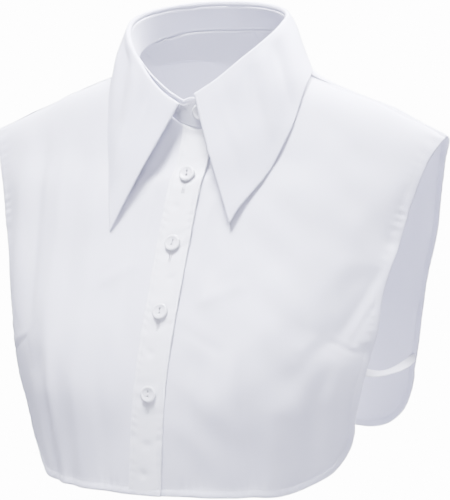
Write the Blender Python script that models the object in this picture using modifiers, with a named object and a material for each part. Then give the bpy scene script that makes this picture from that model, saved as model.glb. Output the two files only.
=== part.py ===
"""Half shirt with a long pointed collar, in its worn form with no wearer.

The cloth hangs on a general figure. Sizes are in centimetres and are turned into metres by CM.
+X is the wearer's left, -Y the front, +Z up. The origin is at the middle of the neck,
level with the place where the shoulder slopes meet it.

Every panel is a grid in two numbers, x and w. w is the signed root of how far a point lies below
the shoulder ridge, plus in front and minus behind, so one smooth surface runs over the shoulder.
"""
import math

import bpy
import numpy as np
from mathutils import Matrix, Vector

CM = 0.01
CLOTH = 0.12
SEAM_GAP = 0.07
NECK_GAP = 0.15
LAYER = 0.16

# Shoulder ridge: a straight slope from the tip, rising in a hollow curve to the neck
TIP_X = 18.2
TIP_Z = -4.4
RIDGE_Y_TIP = -0.5
RIDGE_Y_NECK = -0.9
RIDGE_SLOPE = 0.375
RIDGE_CROWN = 0.42
NECK_X = 6.2
NECK_RISE = 1.45
NECK_FADE = 1.2
NECK_HILL = 3.5
SHOULDER_ROUND = 3.0
NAPE_ROUND = 3.4
NAPE_X = 6.5
NAPE_SPREAD = 3.6
SIDE_SQUARENESS = 2.5

# Worn form at each height: half width at the side edge, and depths from the ridge
BODY_COLUMNS = ("height", "side_x", "front_middle", "front_side", "back_middle", "back_side")
BODY_ROWS = (
    (4.0, 18.2, 4.2, 1.9, 7.4, 2.2),
    (-4.4, 18.2, 4.55, 2.0, 8.0, 2.4),
    (-6.0, 17.45, 5.0, 2.3, 8.3, 2.6),
    (-8.0, 16.85, 5.95, 2.75, 8.8, 2.85),
    (-12.0, 15.95, 7.45, 3.6, 9.1, 3.5),
    (-15.0, 15.15, 8.65, 4.45, 9.1, 3.85),
    (-18.0, 14.75, 9.7, 4.75, 8.9, 3.8),
    (-22.0, 13.85, 10.55, 5.2, 8.4, 4.3),
    (-26.0, 12.95, 10.85, 5.0, 8.0, 4.2),
    (-30.0, 12.3, 10.9, 4.9, 7.8, 4.1),
)
BUST_X = 7.6
BUST_Z = -20.5
BUST_HEIGHT = 0.8
BUST_SPREAD_X = 4.2
BUST_SPREAD_Z = 5.0

# Centre front line, as height and x: it wanders a little, as the closing of a worn shirt does
MIDDLE_ROWS = (
    (0.0, 0.9),
    (-4.0, 0.85),
    (-8.0, 0.65),
    (-12.0, 0.5),
    (-17.0, 0.4),
    (-22.0, 0.15),
    (-30.0, -0.2),
)

# Neck seam and fold line of the collar, as ovals; a row is an angle from the front and both heights
NECK_CENTRE = (0.0, -0.5)
NECK_HALF_WIDTH = 6.2
NECK_FRONT = 4.4
NECK_BACK = 4.9
NECK_THROAT_X = 0.85
FOLD_CENTRE = (-0.35, -1.2)
FOLD_HALF_WIDTH = 6.1
FOLD_FRONT = 4.3
FOLD_BACK = 5.1
FOLD_THROAT_X = -0.2
FOLD_LEAN = 0.15
RING_ROWS = (
    (0.0, -3.8, -1.8),
    (10.0, -3.6, -1.25),
    (20.0, -3.0, -0.6),
    (45.0, -1.2, 1.35),
    (70.0, 0.6, 2.9),
    (90.0, 1.5, 3.8),
    (135.0, 2.6, 4.9),
    (180.0, 2.7, 5.25),
    (225.0, 2.6, 4.9),
)
SEAM_ANGLE = 84.0
SEAM_SPLIT = 0.4
SEAM_TURN = 22.0

# Front panels and back panel
STAND_WIDTH = 1.2
LAP_WIDTH = 1.3
LAP_FADE = 1.8
FRONT_HEM_Z = -29.4
FRONT_HEM_LIFT = 0.15
FRONT_CORNER = 5.0
BACK_HEM_Z = -26.4
BACK_CORNER = 4.8
FRONT_GRID = (20, 20)
BACK_GRID = (26, 19)
NECK_SHARE = 0.42
ROW_SPACING = 0.8
NECK_BLEND = 0.12
PULL_FADE = 1.5
EDGE_SAMPLES = 160
ARC_SAMPLES = 24
INNER_STEPS = 4

# Soft folds: start x and height, end x and height, half width, how far they stand out
FOLD_REACH_UP = 0.25
FOLD_REACH_DOWN = 0.35
FOLD_FADE = 0.4
FOLD_COLUMNS = ("x0", "z0", "x1", "z1", "half_width", "out")
FRONT_FOLDS = (
    (15.6, -12.5, 14.9, -18.0, 1.0, 0.35),
    (13.6, -14.0, 12.6, -18.5, 1.3, -0.25),
    (5.0, -21.5, 4.6, -29.5, 1.5, 0.22),
    (9.4, -22.5, 8.4, -29.0, 1.4, 0.25),
    (-14.4, -8.0, -13.2, -20.0, 1.5, 0.22),
    (-11.3, -7.0, -10.4, -19.0, 1.7, 0.2),
    (-9.6, -22.0, -9.2, -29.5, 1.6, 0.28),
    (-5.2, -21.0, -5.0, -29.5, 1.5, 0.2),
)
BACK_FOLDS = (
    (-7.5, -9.0, -6.0, -26.0, 1.8, 0.3),
    (0.8, -7.0, 0.4, -26.5, 2.0, -0.25),
    (7.2, -8.0, 6.4, -26.0, 1.8, 0.3),
    (12.4, -12.0, 11.6, -24.0, 1.3, 0.2),
    (-12.3, -11.0, -11.8, -24.0, 1.3, 0.2),
)

# Placket, stand, leaf; a row of the leaf's edge is its angle, x, w, lean to the left, height off the body
PLACKET_WIDTH = 2.55
PLACKET_GRID = (3, 28)
PLACKET_REACH = 0.6
PLACKET_SAMPLES = 240
STAND_END = 11.0
STAND_GRID = (56, 2)
STAND_TOP_DROP = 0.34
STAND_END_DROP = 0.75
STAND_END_ROUND = 10.0
STAND_LAP_START = 310.0
STAND_LAP_TURN = 34.0
FOLD_RADIUS = 0.14
FOLD_TURN = (0.75, 0.45)
LEAF_START = 9.0
LEAF_END = 357.5
LEAF_GRID = (48, 5)
LEAF_ROLL = 0.2
LEAF_EASE = 0.3
LEAF_ARRIVE = 0.6
EDGE_LAST = 179.99
EDGE_ROWS = (
    (0.0, 4.85, 3.73, 0.0, 0.3),
    (20.0, 5.55, 3.3, 0.1, 0.32),
    (42.0, 6.65, 2.6, 0.35, 0.35),
    (65.0, 7.5, 1.6, 0.6, 0.4),
    (90.0, 7.6, 0.2, 0.3, 0.38),
    (115.0, 6.3, -0.9, 0.0, 0.38),
    (145.0, 4.2, -1.6, 0.0, 0.5),
    (180.0, 0.0, -2.07, 0.0, 0.6),
    (215.0, -4.2, -1.6, 0.0, 0.5),
)

# Buttons: how far down the front each one is, and their own sizes
BUTTON_HEIGHTS = (-7.0, -11.8, -16.5, -22.2)
STAND_BUTTON_SHARE = 0.62
STAND_BUTTON_ANGLE = 365.5
BUTTON_RADIUS = 0.6
BUTTON_THICKNESS = 0.24
BUTTON_DISH_RADIUS = 0.42
BUTTON_DISH_DEPTH = 0.06
BUTTON_HOLE_RADIUS = 0.09
BUTTON_HOLE_SPACING = 0.28
BUTTON_SIDES = 18
HOLE_SIDES = 6
CUTTER_OVERRUN = 0.1

# Side straps
STRAP_WIDTH = 0.6
STRAP_THICKNESS = 0.11
STRAP_HEIGHT = -20.7
STRAP_SAG = 0.5
STRAP_HOLD = 0.9
STRAP_STEPS = 12
STRAP_SAMPLES = 400
STRAP_NEAR_EDGE = (0.9, 0.95, 1.0)
STRAP_TURN = math.radians(35.0)

COLOURS = {
    "cloth": ((0.84, 0.84, 0.88), 0.8),
    "button": ((0.9, 0.9, 0.92), 0.25),
    "strap": ((0.86, 0.86, 0.89), 0.7),
}


def table_value(rows, column, at):
    """Smooth curve through one column of a table, by cubic steps between its rows."""
    table = np.array(sorted(rows))
    knots = table[:, 0]
    values = table[:, column]
    slopes = np.gradient(values, knots)
    at = np.clip(np.asarray(at, dtype=float), knots[0], knots[-1])
    low = np.clip(np.searchsorted(knots, at) - 1, 0, len(knots) - 2)
    span = knots[low + 1] - knots[low]
    t = (at - knots[low]) / span
    start = values[low] * (1 + 2 * t) * (1 - t) ** 2 + slopes[low] * span * t * (1 - t) ** 2
    end = values[low + 1] * t * t * (3 - 2 * t) + slopes[low + 1] * span * t * t * (t - 1)
    return start + end


def smooth_step(t):
    """0 below 0, 1 above 1, and a soft rise between them."""
    t = np.clip(t, 0.0, 1.0)
    return t * t * (3 - 2 * t)


def body_column(name, height):
    return table_value(BODY_ROWS, BODY_COLUMNS.index(name), height)


def ridge_height(x):
    """Height of the shoulder ridge over x, carried on as a low hill inside the neck."""
    away = np.abs(x)
    share = np.clip((TIP_X - away) / (TIP_X - NECK_X), 0, 1)
    slope = TIP_Z + RIDGE_SLOPE * (TIP_X - away) + RIDGE_CROWN * 4 * share * (1 - share)
    outside = slope + NECK_RISE * np.exp(-(np.maximum(away, NECK_X) - NECK_X) / NECK_FADE)
    at_neck = TIP_Z + RIDGE_SLOPE * (TIP_X - NECK_X) + NECK_RISE
    inside = at_neck + NECK_HILL * (1 - (away / NECK_X) ** 2)
    return np.where(away < NECK_X, inside, outside)


def way_down(x, height, side):
    """w of the point at x and height, in front (side 1) or behind (side -1)."""
    return side * np.sqrt(np.maximum(ridge_height(x) - height, 0.0))


def body_surface(x, w):
    """Points of the worn form: depth is an oval across x, closed over the ridge by a round shoulder."""
    height = ridge_height(x) - w * w
    across = 1 - np.clip(np.abs(x) / body_column("side_x", height), 0, 1.15) ** SIDE_SQUARENESS
    front_side = body_column("front_side", height)
    back_side = body_column("back_side", height)
    front = front_side + (body_column("front_middle", height) - front_side) * across
    back = back_side + (body_column("back_middle", height) - back_side) * across
    bust = np.exp(-((np.abs(x) - BUST_X) / BUST_SPREAD_X) ** 2 - ((height - BUST_Z) / BUST_SPREAD_Z) ** 2)
    front = front + BUST_HEIGHT * bust
    nape = NAPE_ROUND * np.exp(-((np.abs(x) - NAPE_X) / NAPE_SPREAD) ** 2)
    rounding = SHOULDER_ROUND + np.where(w < 0, nape, 0.0)
    over = np.sign(w) * np.sqrt(1 - np.exp(-w * w / rounding))
    ridge_y = RIDGE_Y_NECK + (RIDGE_Y_TIP - RIDGE_Y_NECK) * np.abs(x) / TIP_X
    y = ridge_y - np.where(w > 0, front, back) * over
    return np.stack([x + 0 * y, y, height + 0 * y], axis=-1)


def ring_angle(angle):
    """Angle from the front, 0 to 180, whichever way round."""
    return np.abs((np.asarray(angle) + 180.0) % 360.0 - 180.0)


def oval(angle, centre, half_width, front, back, throat_x):
    """Plan of a neck ring: half an ellipse in front, half behind, its front drawn to the middle line."""
    turn = np.radians(angle)
    depth = np.where(np.cos(turn) > 0, front, back)
    to_throat = (0.5 + 0.5 * np.cos(turn)) ** 3
    x = centre[0] + half_width * np.sin(turn) + (throat_x - centre[0]) * to_throat
    return x, centre[1] - depth * np.cos(turn)


def neck_point(angle):
    x, y = oval(angle, NECK_CENTRE, NECK_HALF_WIDTH, NECK_FRONT, NECK_BACK, NECK_THROAT_X)
    return np.stack([x, y, table_value(RING_ROWS, 1, ring_angle(angle))], axis=-1)


def fold_point(angle):
    x, y = oval(angle, FOLD_CENTRE, FOLD_HALF_WIDTH, FOLD_FRONT, FOLD_BACK, FOLD_THROAT_X)
    height = table_value(RING_ROWS, 2, ring_angle(angle)) - FOLD_LEAN * np.sin(np.radians(angle))
    return np.stack([x, y, height], axis=-1)


def ring_outward(angle):
    """Level direction straight out of the fold ring."""
    turn = np.radians(angle)
    depth = np.where(np.cos(turn) > 0, FOLD_FRONT, FOLD_BACK)
    out = np.stack([np.sin(turn) / FOLD_HALF_WIDTH, -np.cos(turn) / depth, 0 * turn], axis=-1)
    return out / np.linalg.norm(out, axis=-1, keepdims=True)


def grid_normals(points):
    """Unit normals of a grid of points, from its two directions."""
    along = np.gradient(points, axis=0)
    across = np.gradient(points, axis=1)
    normal = np.cross(along, across)
    return normal / np.linalg.norm(normal, axis=-1, keepdims=True)


def outward_normals(points):
    """Grid normals turned away from an upright line through the middle of the garment."""
    normal = grid_normals(points)
    away = points - np.array([0.0, 0.0, -12.0])
    facing = np.sign(np.sum(normal * away, axis=-1, keepdims=True).mean())
    return normal * facing


def patch_between(top, bottom, inner, outer, u, v):
    """Grid of (x, w) filled in between four edges, each a function of its own share from 0 to 1."""
    u_grid, v_grid = np.meshgrid(u, v, indexing="ij")
    u3 = u_grid[..., None]
    v3 = v_grid[..., None]
    rows = (1 - v3) * top(u)[:, None] + v3 * bottom(u)[:, None]
    columns = (1 - u3) * inner(v)[None] + u3 * outer(v)[None]
    ends = np.array([0.0, 1.0])
    first, last = top(ends)
    low_first, low_last = bottom(ends)
    corners = (1 - u3) * (1 - v3) * first + u3 * (1 - v3) * last
    corners = corners + (1 - u3) * v3 * low_first + u3 * v3 * low_last
    return rows + columns - corners


def by_share(samples, share):
    """Points at the given shares of a finely sampled edge, measured by its w."""
    way = np.abs(samples[:, 1] - samples[0, 1])
    place = way / way[-1]
    return np.stack([np.interp(share, place, samples[:, k]) for k in (0, 1)], axis=-1)


def by_length(samples, share):
    """Points at the given shares of the length of a finely sampled edge."""
    steps = np.linalg.norm(np.diff(samples, axis=0), axis=1)
    place = np.concatenate([[0.0], np.cumsum(steps)])
    place = place / place[-1]
    return np.stack([np.interp(share, place, samples[:, k]) for k in (0, 1)], axis=-1)


def corner_arc(side_x_at, corner_z, radius, start, end):
    """Part of the rounded corner between the hem (0 degrees) and the side edge (90)."""
    turn = np.radians(np.linspace(start, end, ARC_SAMPLES))
    return side_x_at - radius + radius * np.sin(turn), corner_z - radius * np.cos(turn)


def neck_share(u):
    """Share of the way along the neck edge, which takes the first part of a panel's width."""
    return np.clip(u / NECK_SHARE, 0, 1)


def seam_angle(side):
    """Angle at which the front (side 1) or the back (-1) meets the shoulder seam."""
    return SEAM_ANGLE - side * SEAM_SPLIT


def panel_top(side, mirror, first_angle):
    """Neck edge, then shoulder seam, as a function of u that gives (x, w)."""
    last_angle = seam_angle(side)
    neck_end = neck_point(mirror * last_angle)
    seam_x = mirror * neck_end[0]
    seam_w = float(way_down(seam_x, neck_end[2], 1))
    seam_shift = side * SEAM_GAP * math.sqrt(SHOULDER_ROUND) / 4

    def top(u):
        angle = first_angle + (last_angle - first_angle) * neck_share(u)
        neck = neck_point(mirror * angle)
        neck_x = mirror * neck[:, 0]
        neck_w = way_down(neck_x, neck[:, 2] - NECK_GAP, side)
        if side < 0:
            turned = smooth_step((last_angle + SEAM_TURN - angle) / SEAM_TURN)
            neck_w = neck_w * (1 - turned) + seam_w * turned
        out = np.clip((u - NECK_SHARE) / (1 - NECK_SHARE), 0, 1)
        shoulder_x = seam_x + (TIP_X - seam_x) * out
        shoulder_w = seam_w * (1 - out) ** 2 + seam_shift
        x = np.where(u < NECK_SHARE, neck_x, shoulder_x)
        w = np.where(u < NECK_SHARE, neck_w, shoulder_w)
        return np.stack([x, w], axis=-1)

    return top


def panel_edges(side, top, inner_x, hem_z, hem_lift, corner):
    """Hem, inner edge and side edge of half a panel, in (x, w), to go with its top."""
    corner_z = hem_z + corner
    side_at_corner = float(body_column("side_x", corner_z))
    tip = top(np.array([1.0]))

    def outer(v):
        heights = np.linspace(TIP_Z - 0.02, corner_z, EDGE_SAMPLES)
        arc_x, arc_z = corner_arc(side_at_corner, corner_z, corner, 90.0, 45.0)
        x = np.concatenate([body_column("side_x", heights), arc_x[1:]])
        heights = np.concatenate([heights, arc_z[1:]])
        samples = np.stack([x, way_down(x, heights, side)], axis=-1)
        return by_share(np.concatenate([tip, samples]), v)

    def bottom(u):
        arc_x, arc_z = corner_arc(side_at_corner, corner_z, corner, 0.0, 45.0)
        straight = np.linspace(inner_x(hem_z), arc_x[0], EDGE_SAMPLES)
        rise = hem_lift * (straight / arc_x[0]) ** 2
        fade = np.cos(np.linspace(0, math.pi / 2, len(arc_z)))
        x = np.concatenate([straight, arc_x[1:]])
        heights = np.concatenate([hem_z + rise, (arc_z + hem_lift * fade)[1:]])
        return by_length(np.stack([x, way_down(x, heights, side)], axis=-1), u)

    first = top(np.array([0.0]))[0]
    last = bottom(np.array([0.0]))[0]

    def inner(v):
        way = first[1] + (last[1] - first[1]) * v
        x = np.full_like(v, first[0])
        for _ in range(INNER_STEPS):
            x = inner_x(ridge_height(x) - way * way)
        ends = (1 - v) * (first[0] - x[0]) + v * (last[0] - x[-1])
        return np.stack([x + ends, way], axis=-1)

    return bottom, inner, outer


def half_panel(u, v, side, mirror, first_angle, inner_x, hem_z, hem_lift, corner):
    """Half a panel as points: the patch of (x, w) laid on the worn form, then drawn to the neck seam."""
    top = panel_top(side, mirror, first_angle)
    bottom, inner, outer = panel_edges(side, top, inner_x, hem_z, hem_lift, corner)
    patch = patch_between(top, bottom, inner, outer, u, v)
    points = body_surface(patch[..., 0], patch[..., 1])
    top_line = top(u)
    neck = neck_point(mirror * (first_angle + (seam_angle(side) - first_angle) * neck_share(u)))
    neck[:, 0] *= mirror
    neck[:, 2] -= NECK_GAP
    pull = neck - body_surface(top_line[:, 0], top_line[:, 1])
    last = np.argmax(u >= NECK_SHARE)
    fade = np.exp(-np.maximum(top_line[:, 0] - top_line[last, 0], 0) / PULL_FADE)
    pull = np.where((u <= NECK_SHARE)[:, None], pull, pull[last] * fade[:, None])
    points = points + pull[:, None] * np.exp(-v / NECK_BLEND)[None, :, None]
    points[..., 0] *= mirror
    return points


def add_folds(points, rows):
    """Moves points out along soft ridges, each a bell across its line that dies out past its ends."""
    normal = outward_normals(points)
    for row in rows:
        fold = dict(zip(FOLD_COLUMNS, row))
        start = np.array([fold["x0"], fold["z0"]])
        line = np.array([fold["x1"], fold["z1"]]) - start
        length = np.linalg.norm(line)
        place = points[..., (0, 2)] - start
        along = place @ line / length ** 2
        off = place @ np.array([line[1], -line[0]]) / length
        bell = np.exp(-(off / fold["half_width"]) ** 2)
        upper_end = smooth_step((along + FOLD_REACH_UP) / FOLD_FADE)
        ends = upper_end * smooth_step((1 + FOLD_REACH_DOWN - along) / FOLD_FADE)
        points = points + normal * (fold["out"] * bell * ends)[..., None]
    return points


def middle_x(height):
    return table_value(MIDDLE_ROWS, 1, height)


def front_points(u, v, mirror):
    """Points of one front. The right front is lifted one layer where it crosses the middle."""

    def inner_x(height):
        return mirror * middle_x(height) - STAND_WIDTH

    points = half_panel(u, v, 1, mirror, -STAND_END, inner_x, FRONT_HEM_Z, FRONT_HEM_LIFT, FRONT_CORNER)
    points = add_folds(points, FRONT_FOLDS)
    if mirror < 0:
        off_middle = -(points[..., 0] - middle_x(points[..., 2]))
        lift = LAYER * (1 - smooth_step((off_middle - LAP_WIDTH) / LAP_FADE))
        points = points + outward_normals(points) * lift[..., None]
    return points


def row_shares(count):
    return np.linspace(0, 1, count + 1) ** ROW_SPACING


def column_shares(count):
    """Even shares across a panel, with one of them exactly at the shoulder end of the neck."""
    at_neck = round(count * NECK_SHARE)
    return np.concatenate([
        np.linspace(0, NECK_SHARE, at_neck + 1),
        np.linspace(NECK_SHARE, 1, count - at_neck + 1)[1:],
    ])


def centre_back(height):
    return 0.0 * height


def half_back(u, v, mirror):
    return half_panel(u, v, -1, mirror, 180.0, centre_back, BACK_HEM_Z, 0.0, BACK_CORNER)


def back_points(columns, rows):
    """The whole back: a half from the centre to each side, joined in the middle."""
    u = column_shares(columns // 2)
    left = half_back(u, rows, 1)
    right = half_back(u, rows, -1)
    return add_folds(np.concatenate([right[::-1], left[1:]]), BACK_FOLDS)


def placket_points(u_count, v, lift):
    """The button band: the right front's own points between two lines, moved out by lift."""
    fine = np.linspace(0, PLACKET_REACH, PLACKET_SAMPLES)
    panel = front_points(fine, v, -1)
    out = outward_normals(panel)
    band = np.zeros((u_count + 1, len(v), 3))
    for row in range(len(v)):
        middle = middle_x(panel[:, row, 2])
        from_middle = panel[:, row, 0] - middle
        wanted = np.linspace(0.5, -0.5, u_count + 1) * PLACKET_WIDTH
        order = np.argsort(from_middle)
        for k in range(3):
            lifted = panel[:, row, k] + out[:, row, k] * lift
            band[:, row, k] = np.interp(wanted, from_middle[order], lifted[order])
    return band


def stand_points(angle_count, rows):
    """Collar band between the neck seam and the fold. Its right end laps over its left end."""
    angle = np.linspace(-STAND_END, 360.0 + STAND_END, angle_count + 1)
    share = np.linspace(0, 1, rows + 1)
    bottom = neck_point(angle)
    out = ring_outward(angle)
    top = fold_point(angle) - out * FOLD_RADIUS
    top[:, 2] -= STAND_TOP_DROP
    to_end = np.minimum(angle + STAND_END, 360.0 + STAND_END - angle)
    short_of = 1 - np.clip(to_end / STAND_END_ROUND, 0, 1)
    top[:, 2] -= STAND_END_DROP * (1 - np.sqrt(1 - short_of ** 2))
    points = bottom[:, None] * (1 - share[None, :, None]) + top[:, None] * share[None, :, None]
    lapped = LAYER * smooth_step((angle - STAND_LAP_START) / STAND_LAP_TURN)
    return points + out[:, None] * lapped[:, None, None]


def edge_point(angle):
    """Outer edge of the leaf, lying just over the worn form."""
    turned = ring_angle(angle)
    side = np.sign(180.0 - np.asarray(angle) % 360.0)
    x, w, lean, lift = (table_value(EDGE_ROWS, column, turned) for column in range(1, 5))
    x = x + side * lean
    points = body_surface(x, w)
    nudge = 0.02
    along_x = body_surface(x + nudge, w) - points
    along_w = body_surface(x, w + nudge) - points
    normal = np.cross(along_w, along_x)
    normal = normal / np.linalg.norm(normal, axis=-1, keepdims=True)
    normal = normal * np.sign(normal[..., 2:3] + 1e-9)
    points = points + normal * lift[..., None]
    points[..., 0] *= side
    return points


def leaf_points(angle_count, rows):
    """Collar leaf: up from the stand, over the fold, then down a soft curve to its outer edge."""
    angle = np.linspace(LEAF_START, LEAF_END, angle_count + 1)
    fold = fold_point(angle)
    out = ring_outward(angle)
    up = np.array([0.0, 0.0, 1.0])
    inside = fold - out * FOLD_RADIUS - up * (STAND_TOP_DROP - NECK_GAP)
    turn_in = fold - (out * FOLD_TURN[0] + up * FOLD_TURN[1]) * FOLD_RADIUS
    turn_out = fold + (out * FOLD_TURN[0] - up * FOLD_TURN[1]) * FOLD_RADIUS
    half = np.where(angle < 180.0, 180.0 - LEAF_START, LEAF_END - 180.0)
    edge = edge_point(180.0 + (angle - 180.0) * EDGE_LAST / half)
    spread = edge - turn_out
    leave = turn_out + spread * LEAF_EASE + out * LEAF_ROLL
    arrive = edge - spread * LEAF_EASE + out * LEAF_ROLL * LEAF_ARRIVE
    columns = [inside, turn_in, fold, turn_out]
    for step in range(1, rows + 1):
        t = step / rows
        start = turn_out * (1 - t) ** 3 + leave * 3 * t * (1 - t) ** 2
        columns.append(start + arrive * 3 * t * t * (1 - t) + edge * t ** 3)
    return np.stack(columns, axis=1)


def strap_points(mirror):
    """One side strap: held inside both side edges, hanging slack between them."""
    rows = np.linspace(0, 1, STRAP_SAMPLES)
    near_edge = np.array(STRAP_NEAR_EDGE)
    front = front_points(near_edge, rows, mirror)
    back = half_back(near_edge, rows, mirror)
    ends = []
    for panel in (front, back):
        at = np.argmin(np.abs(panel[-1, :, 2] - STRAP_HEIGHT))
        edge = panel[-1, at]
        inward = panel[0, at] - edge
        inward = inward / np.linalg.norm(inward)
        down = panel[-1, at + 1] - edge
        normal = np.cross(inward, down)
        normal = normal / np.linalg.norm(normal)
        normal = normal * -np.sign(normal[0] * mirror)
        held = edge + normal * LAYER
        ends.append((held + inward * STRAP_HOLD, held))
    t = np.linspace(0, 1, STRAP_STEPS + 1)[:, None]
    between = ends[0][1] * (1 - t) + ends[1][1] * t
    between[:, 2] -= STRAP_SAG * 4 * (t * (1 - t))[:, 0]
    path = np.concatenate([ends[0][0][None], between, ends[1][0][None]])
    turn = STRAP_TURN * np.sin(np.pi * np.concatenate([[0.0], t[:, 0], [0.0]]))
    across = np.stack([-mirror * np.sin(turn), 0 * turn, np.cos(turn)], axis=-1)
    share = np.linspace(-0.5, 0.5, 3)
    return path[:, None] + across[:, None] * share[None, :, None] * STRAP_WIDTH


def make_material(name):
    colour, roughness = COLOURS[name]
    material = bpy.data.materials.new(name)
    material.use_nodes = True
    shader = material.node_tree.nodes["Principled BSDF"]
    shader.inputs["Base Color"].default_value = (*colour, 1.0)
    shader.inputs["Roughness"].default_value = roughness
    shader.inputs["Metallic"].default_value = 0.0
    return material


def sheet_object(name, points, thickness, material, collection):
    """A wall of cloth: an open grid of faces with Solidify."""
    columns, rows = points.shape[:2]
    mesh = bpy.data.meshes.new(name)
    index = np.arange(columns * rows).reshape(columns, rows)
    faces = np.stack([index[:-1, :-1], index[1:, :-1], index[1:, 1:], index[:-1, 1:]], axis=-1)
    mesh.from_pydata((points.reshape(-1, 3) * CM).tolist(), [], faces.reshape(-1, 4).tolist())
    mesh.materials.append(material)
    mesh.shade_smooth()
    item = bpy.data.objects.new(name, mesh)
    collection.objects.link(item)
    wall = item.modifiers.new("Cloth thickness", "SOLIDIFY")
    wall.thickness = thickness * CM
    wall.offset = 0.0
    wall.use_even_offset = True
    return item


def make_button(name, centre, normal, material, collection, cutters):
    """Round two-hole button, dished in front, facing along the normal, one hole above the other."""
    turn = Vector(normal).to_track_quat("Z", "Y").to_matrix().to_4x4()
    place = Matrix.Translation(Vector(centre) * CM) @ turn
    bpy.ops.mesh.primitive_cylinder_add(
        vertices=BUTTON_SIDES, radius=BUTTON_RADIUS * CM, depth=BUTTON_THICKNESS * CM
    )
    button = bpy.context.object
    button.name = name
    button.matrix_world = place
    button.data.materials.append(material)
    move_to(button, collection)
    rim = button.modifiers.new("Rounded rim", "BEVEL")
    rim.width = BUTTON_THICKNESS * 0.3 * CM
    rim.segments = 2
    rim.limit_method = "ANGLE"
    face = BUTTON_THICKNESS / 2
    through = face + CUTTER_OVERRUN
    cuts = [("dish", BUTTON_DISH_RADIUS, BUTTON_SIDES, 0.0, face - BUTTON_DISH_DEPTH, through)]
    for word, step in (("upper", 0.5), ("lower", -0.5)):
        cuts.append((word, BUTTON_HOLE_RADIUS, HOLE_SIDES, step * BUTTON_HOLE_SPACING, -through, through))
    for word, radius, sides, up, low, high in cuts:
        bpy.ops.mesh.primitive_cylinder_add(vertices=sides, radius=radius * CM, depth=(high - low) * CM)
        cutter = bpy.context.object
        cutter.name = f"{name}_{word}"
        cutter.matrix_world = place @ Matrix.Translation(Vector((0, up, (low + high) / 2)) * CM)
        cutter.hide_render = True
        cutter.display_type = "WIRE"
        move_to(cutter, cutters)
        cut = button.modifiers.new(f"Cut {word}", "BOOLEAN")
        cut.operation = "DIFFERENCE"
        cut.object = cutter
    return button


def move_to(item, collection):
    for old in list(item.users_collection):
        old.objects.unlink(item)
    collection.objects.link(item)


def point_and_normal(points, height):
    """Middle of a band and its outward normal at a height."""
    middle = points[points.shape[0] // 2]
    normals = outward_normals(points)[points.shape[0] // 2]
    heights = middle[:, 2]
    order = np.argsort(heights)
    centre = np.array([np.interp(height, heights[order], middle[order, k]) for k in range(3)])
    normal = np.array([np.interp(height, heights[order], normals[order, k]) for k in range(3)])
    return centre, normal / np.linalg.norm(normal)


def make_buttons(material, collection, cutters):
    stand_off = CLOTH / 2 + SEAM_GAP + BUTTON_THICKNESS / 2
    stand = stand_points(STAND_GRID[0], STAND_GRID[1])
    angle = np.linspace(-STAND_END, 360.0 + STAND_END, STAND_GRID[0] + 1)
    at_front = [np.interp(STAND_BUTTON_ANGLE, angle, stand[:, row, k]) for row in (0, -1) for k in range(3)]
    low = np.array(at_front[:3])
    high = np.array(at_front[3:])
    upright = high - low
    normal = np.cross(np.array([1.0, 0.0, 0.0]), upright / np.linalg.norm(upright))
    centre = low + upright * STAND_BUTTON_SHARE
    make_button("button_1", centre + normal * stand_off, normal, material, collection, cutters)
    band = placket_points(4, row_shares(PLACKET_GRID[1]), LAYER)
    for number, height in enumerate(BUTTON_HEIGHTS, start=2):
        centre, normal = point_and_normal(band, height)
        make_button(f"button_{number}", centre + normal * stand_off, normal, material, collection, cutters)


def main():
    for item in list(bpy.data.objects):
        bpy.data.objects.remove(item)
    garment = bpy.data.collections.new("detachable_shirt_collar")
    cutters = bpy.data.collections.new("cutters")
    bpy.context.scene.collection.children.link(garment)
    bpy.context.scene.collection.children.link(cutters)
    cloth = make_material("cloth")
    strap = make_material("strap")
    button = make_material("button")

    front_u = column_shares(FRONT_GRID[0])
    front_v = row_shares(FRONT_GRID[1])
    sheet_object("front_left", front_points(front_u, front_v, 1), CLOTH, cloth, garment)
    sheet_object("front_right", front_points(front_u, front_v, -1), CLOTH, cloth, garment)
    sheet_object("back", back_points(BACK_GRID[0], row_shares(BACK_GRID[1])), CLOTH, cloth, garment)
    band = placket_points(PLACKET_GRID[0], row_shares(PLACKET_GRID[1]), LAYER)
    sheet_object("placket", band, CLOTH, cloth, garment)
    sheet_object("collar_stand", stand_points(*STAND_GRID), CLOTH, cloth, garment)
    sheet_object("collar_leaf", leaf_points(*LEAF_GRID), CLOTH, cloth, garment)
    sheet_object("strap_left", strap_points(1), STRAP_THICKNESS, strap, garment)
    sheet_object("strap_right", strap_points(-1), STRAP_THICKNESS, strap, garment)
    make_buttons(button, garment, cutters)


main()
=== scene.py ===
"""Finish of a half shirt with a long pointed collar, sewn in white plain-woven cotton.

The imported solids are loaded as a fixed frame, and each is replaced by a cloth shell on the same form,
with its hems, folds, darts, buttonholes and stitches. Form sizes are in centimetres and are turned
into metres by CM. +X is the wearer's left, -Y the front, +Z up, the origin the middle of the neck.
"""
import math

import bmesh
import bpy
import numpy as np
from mathutils import Matrix, Vector


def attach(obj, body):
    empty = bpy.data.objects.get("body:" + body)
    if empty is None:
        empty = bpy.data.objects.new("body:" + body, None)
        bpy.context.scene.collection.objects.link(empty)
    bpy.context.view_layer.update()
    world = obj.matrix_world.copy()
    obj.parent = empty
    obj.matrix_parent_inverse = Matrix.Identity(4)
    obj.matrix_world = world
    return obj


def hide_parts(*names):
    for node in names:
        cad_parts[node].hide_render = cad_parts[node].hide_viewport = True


bl_info = {
    "name": "Half shirt with pointed collar",
    "version": (1, 0, 0),
    "blender": (4, 5, 0),
    "location": "View3D > Sidebar > Half Shirt",
    "description": "Dresses the packed half shirt in sewn white cotton",
    "category": "Object",
}

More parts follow.
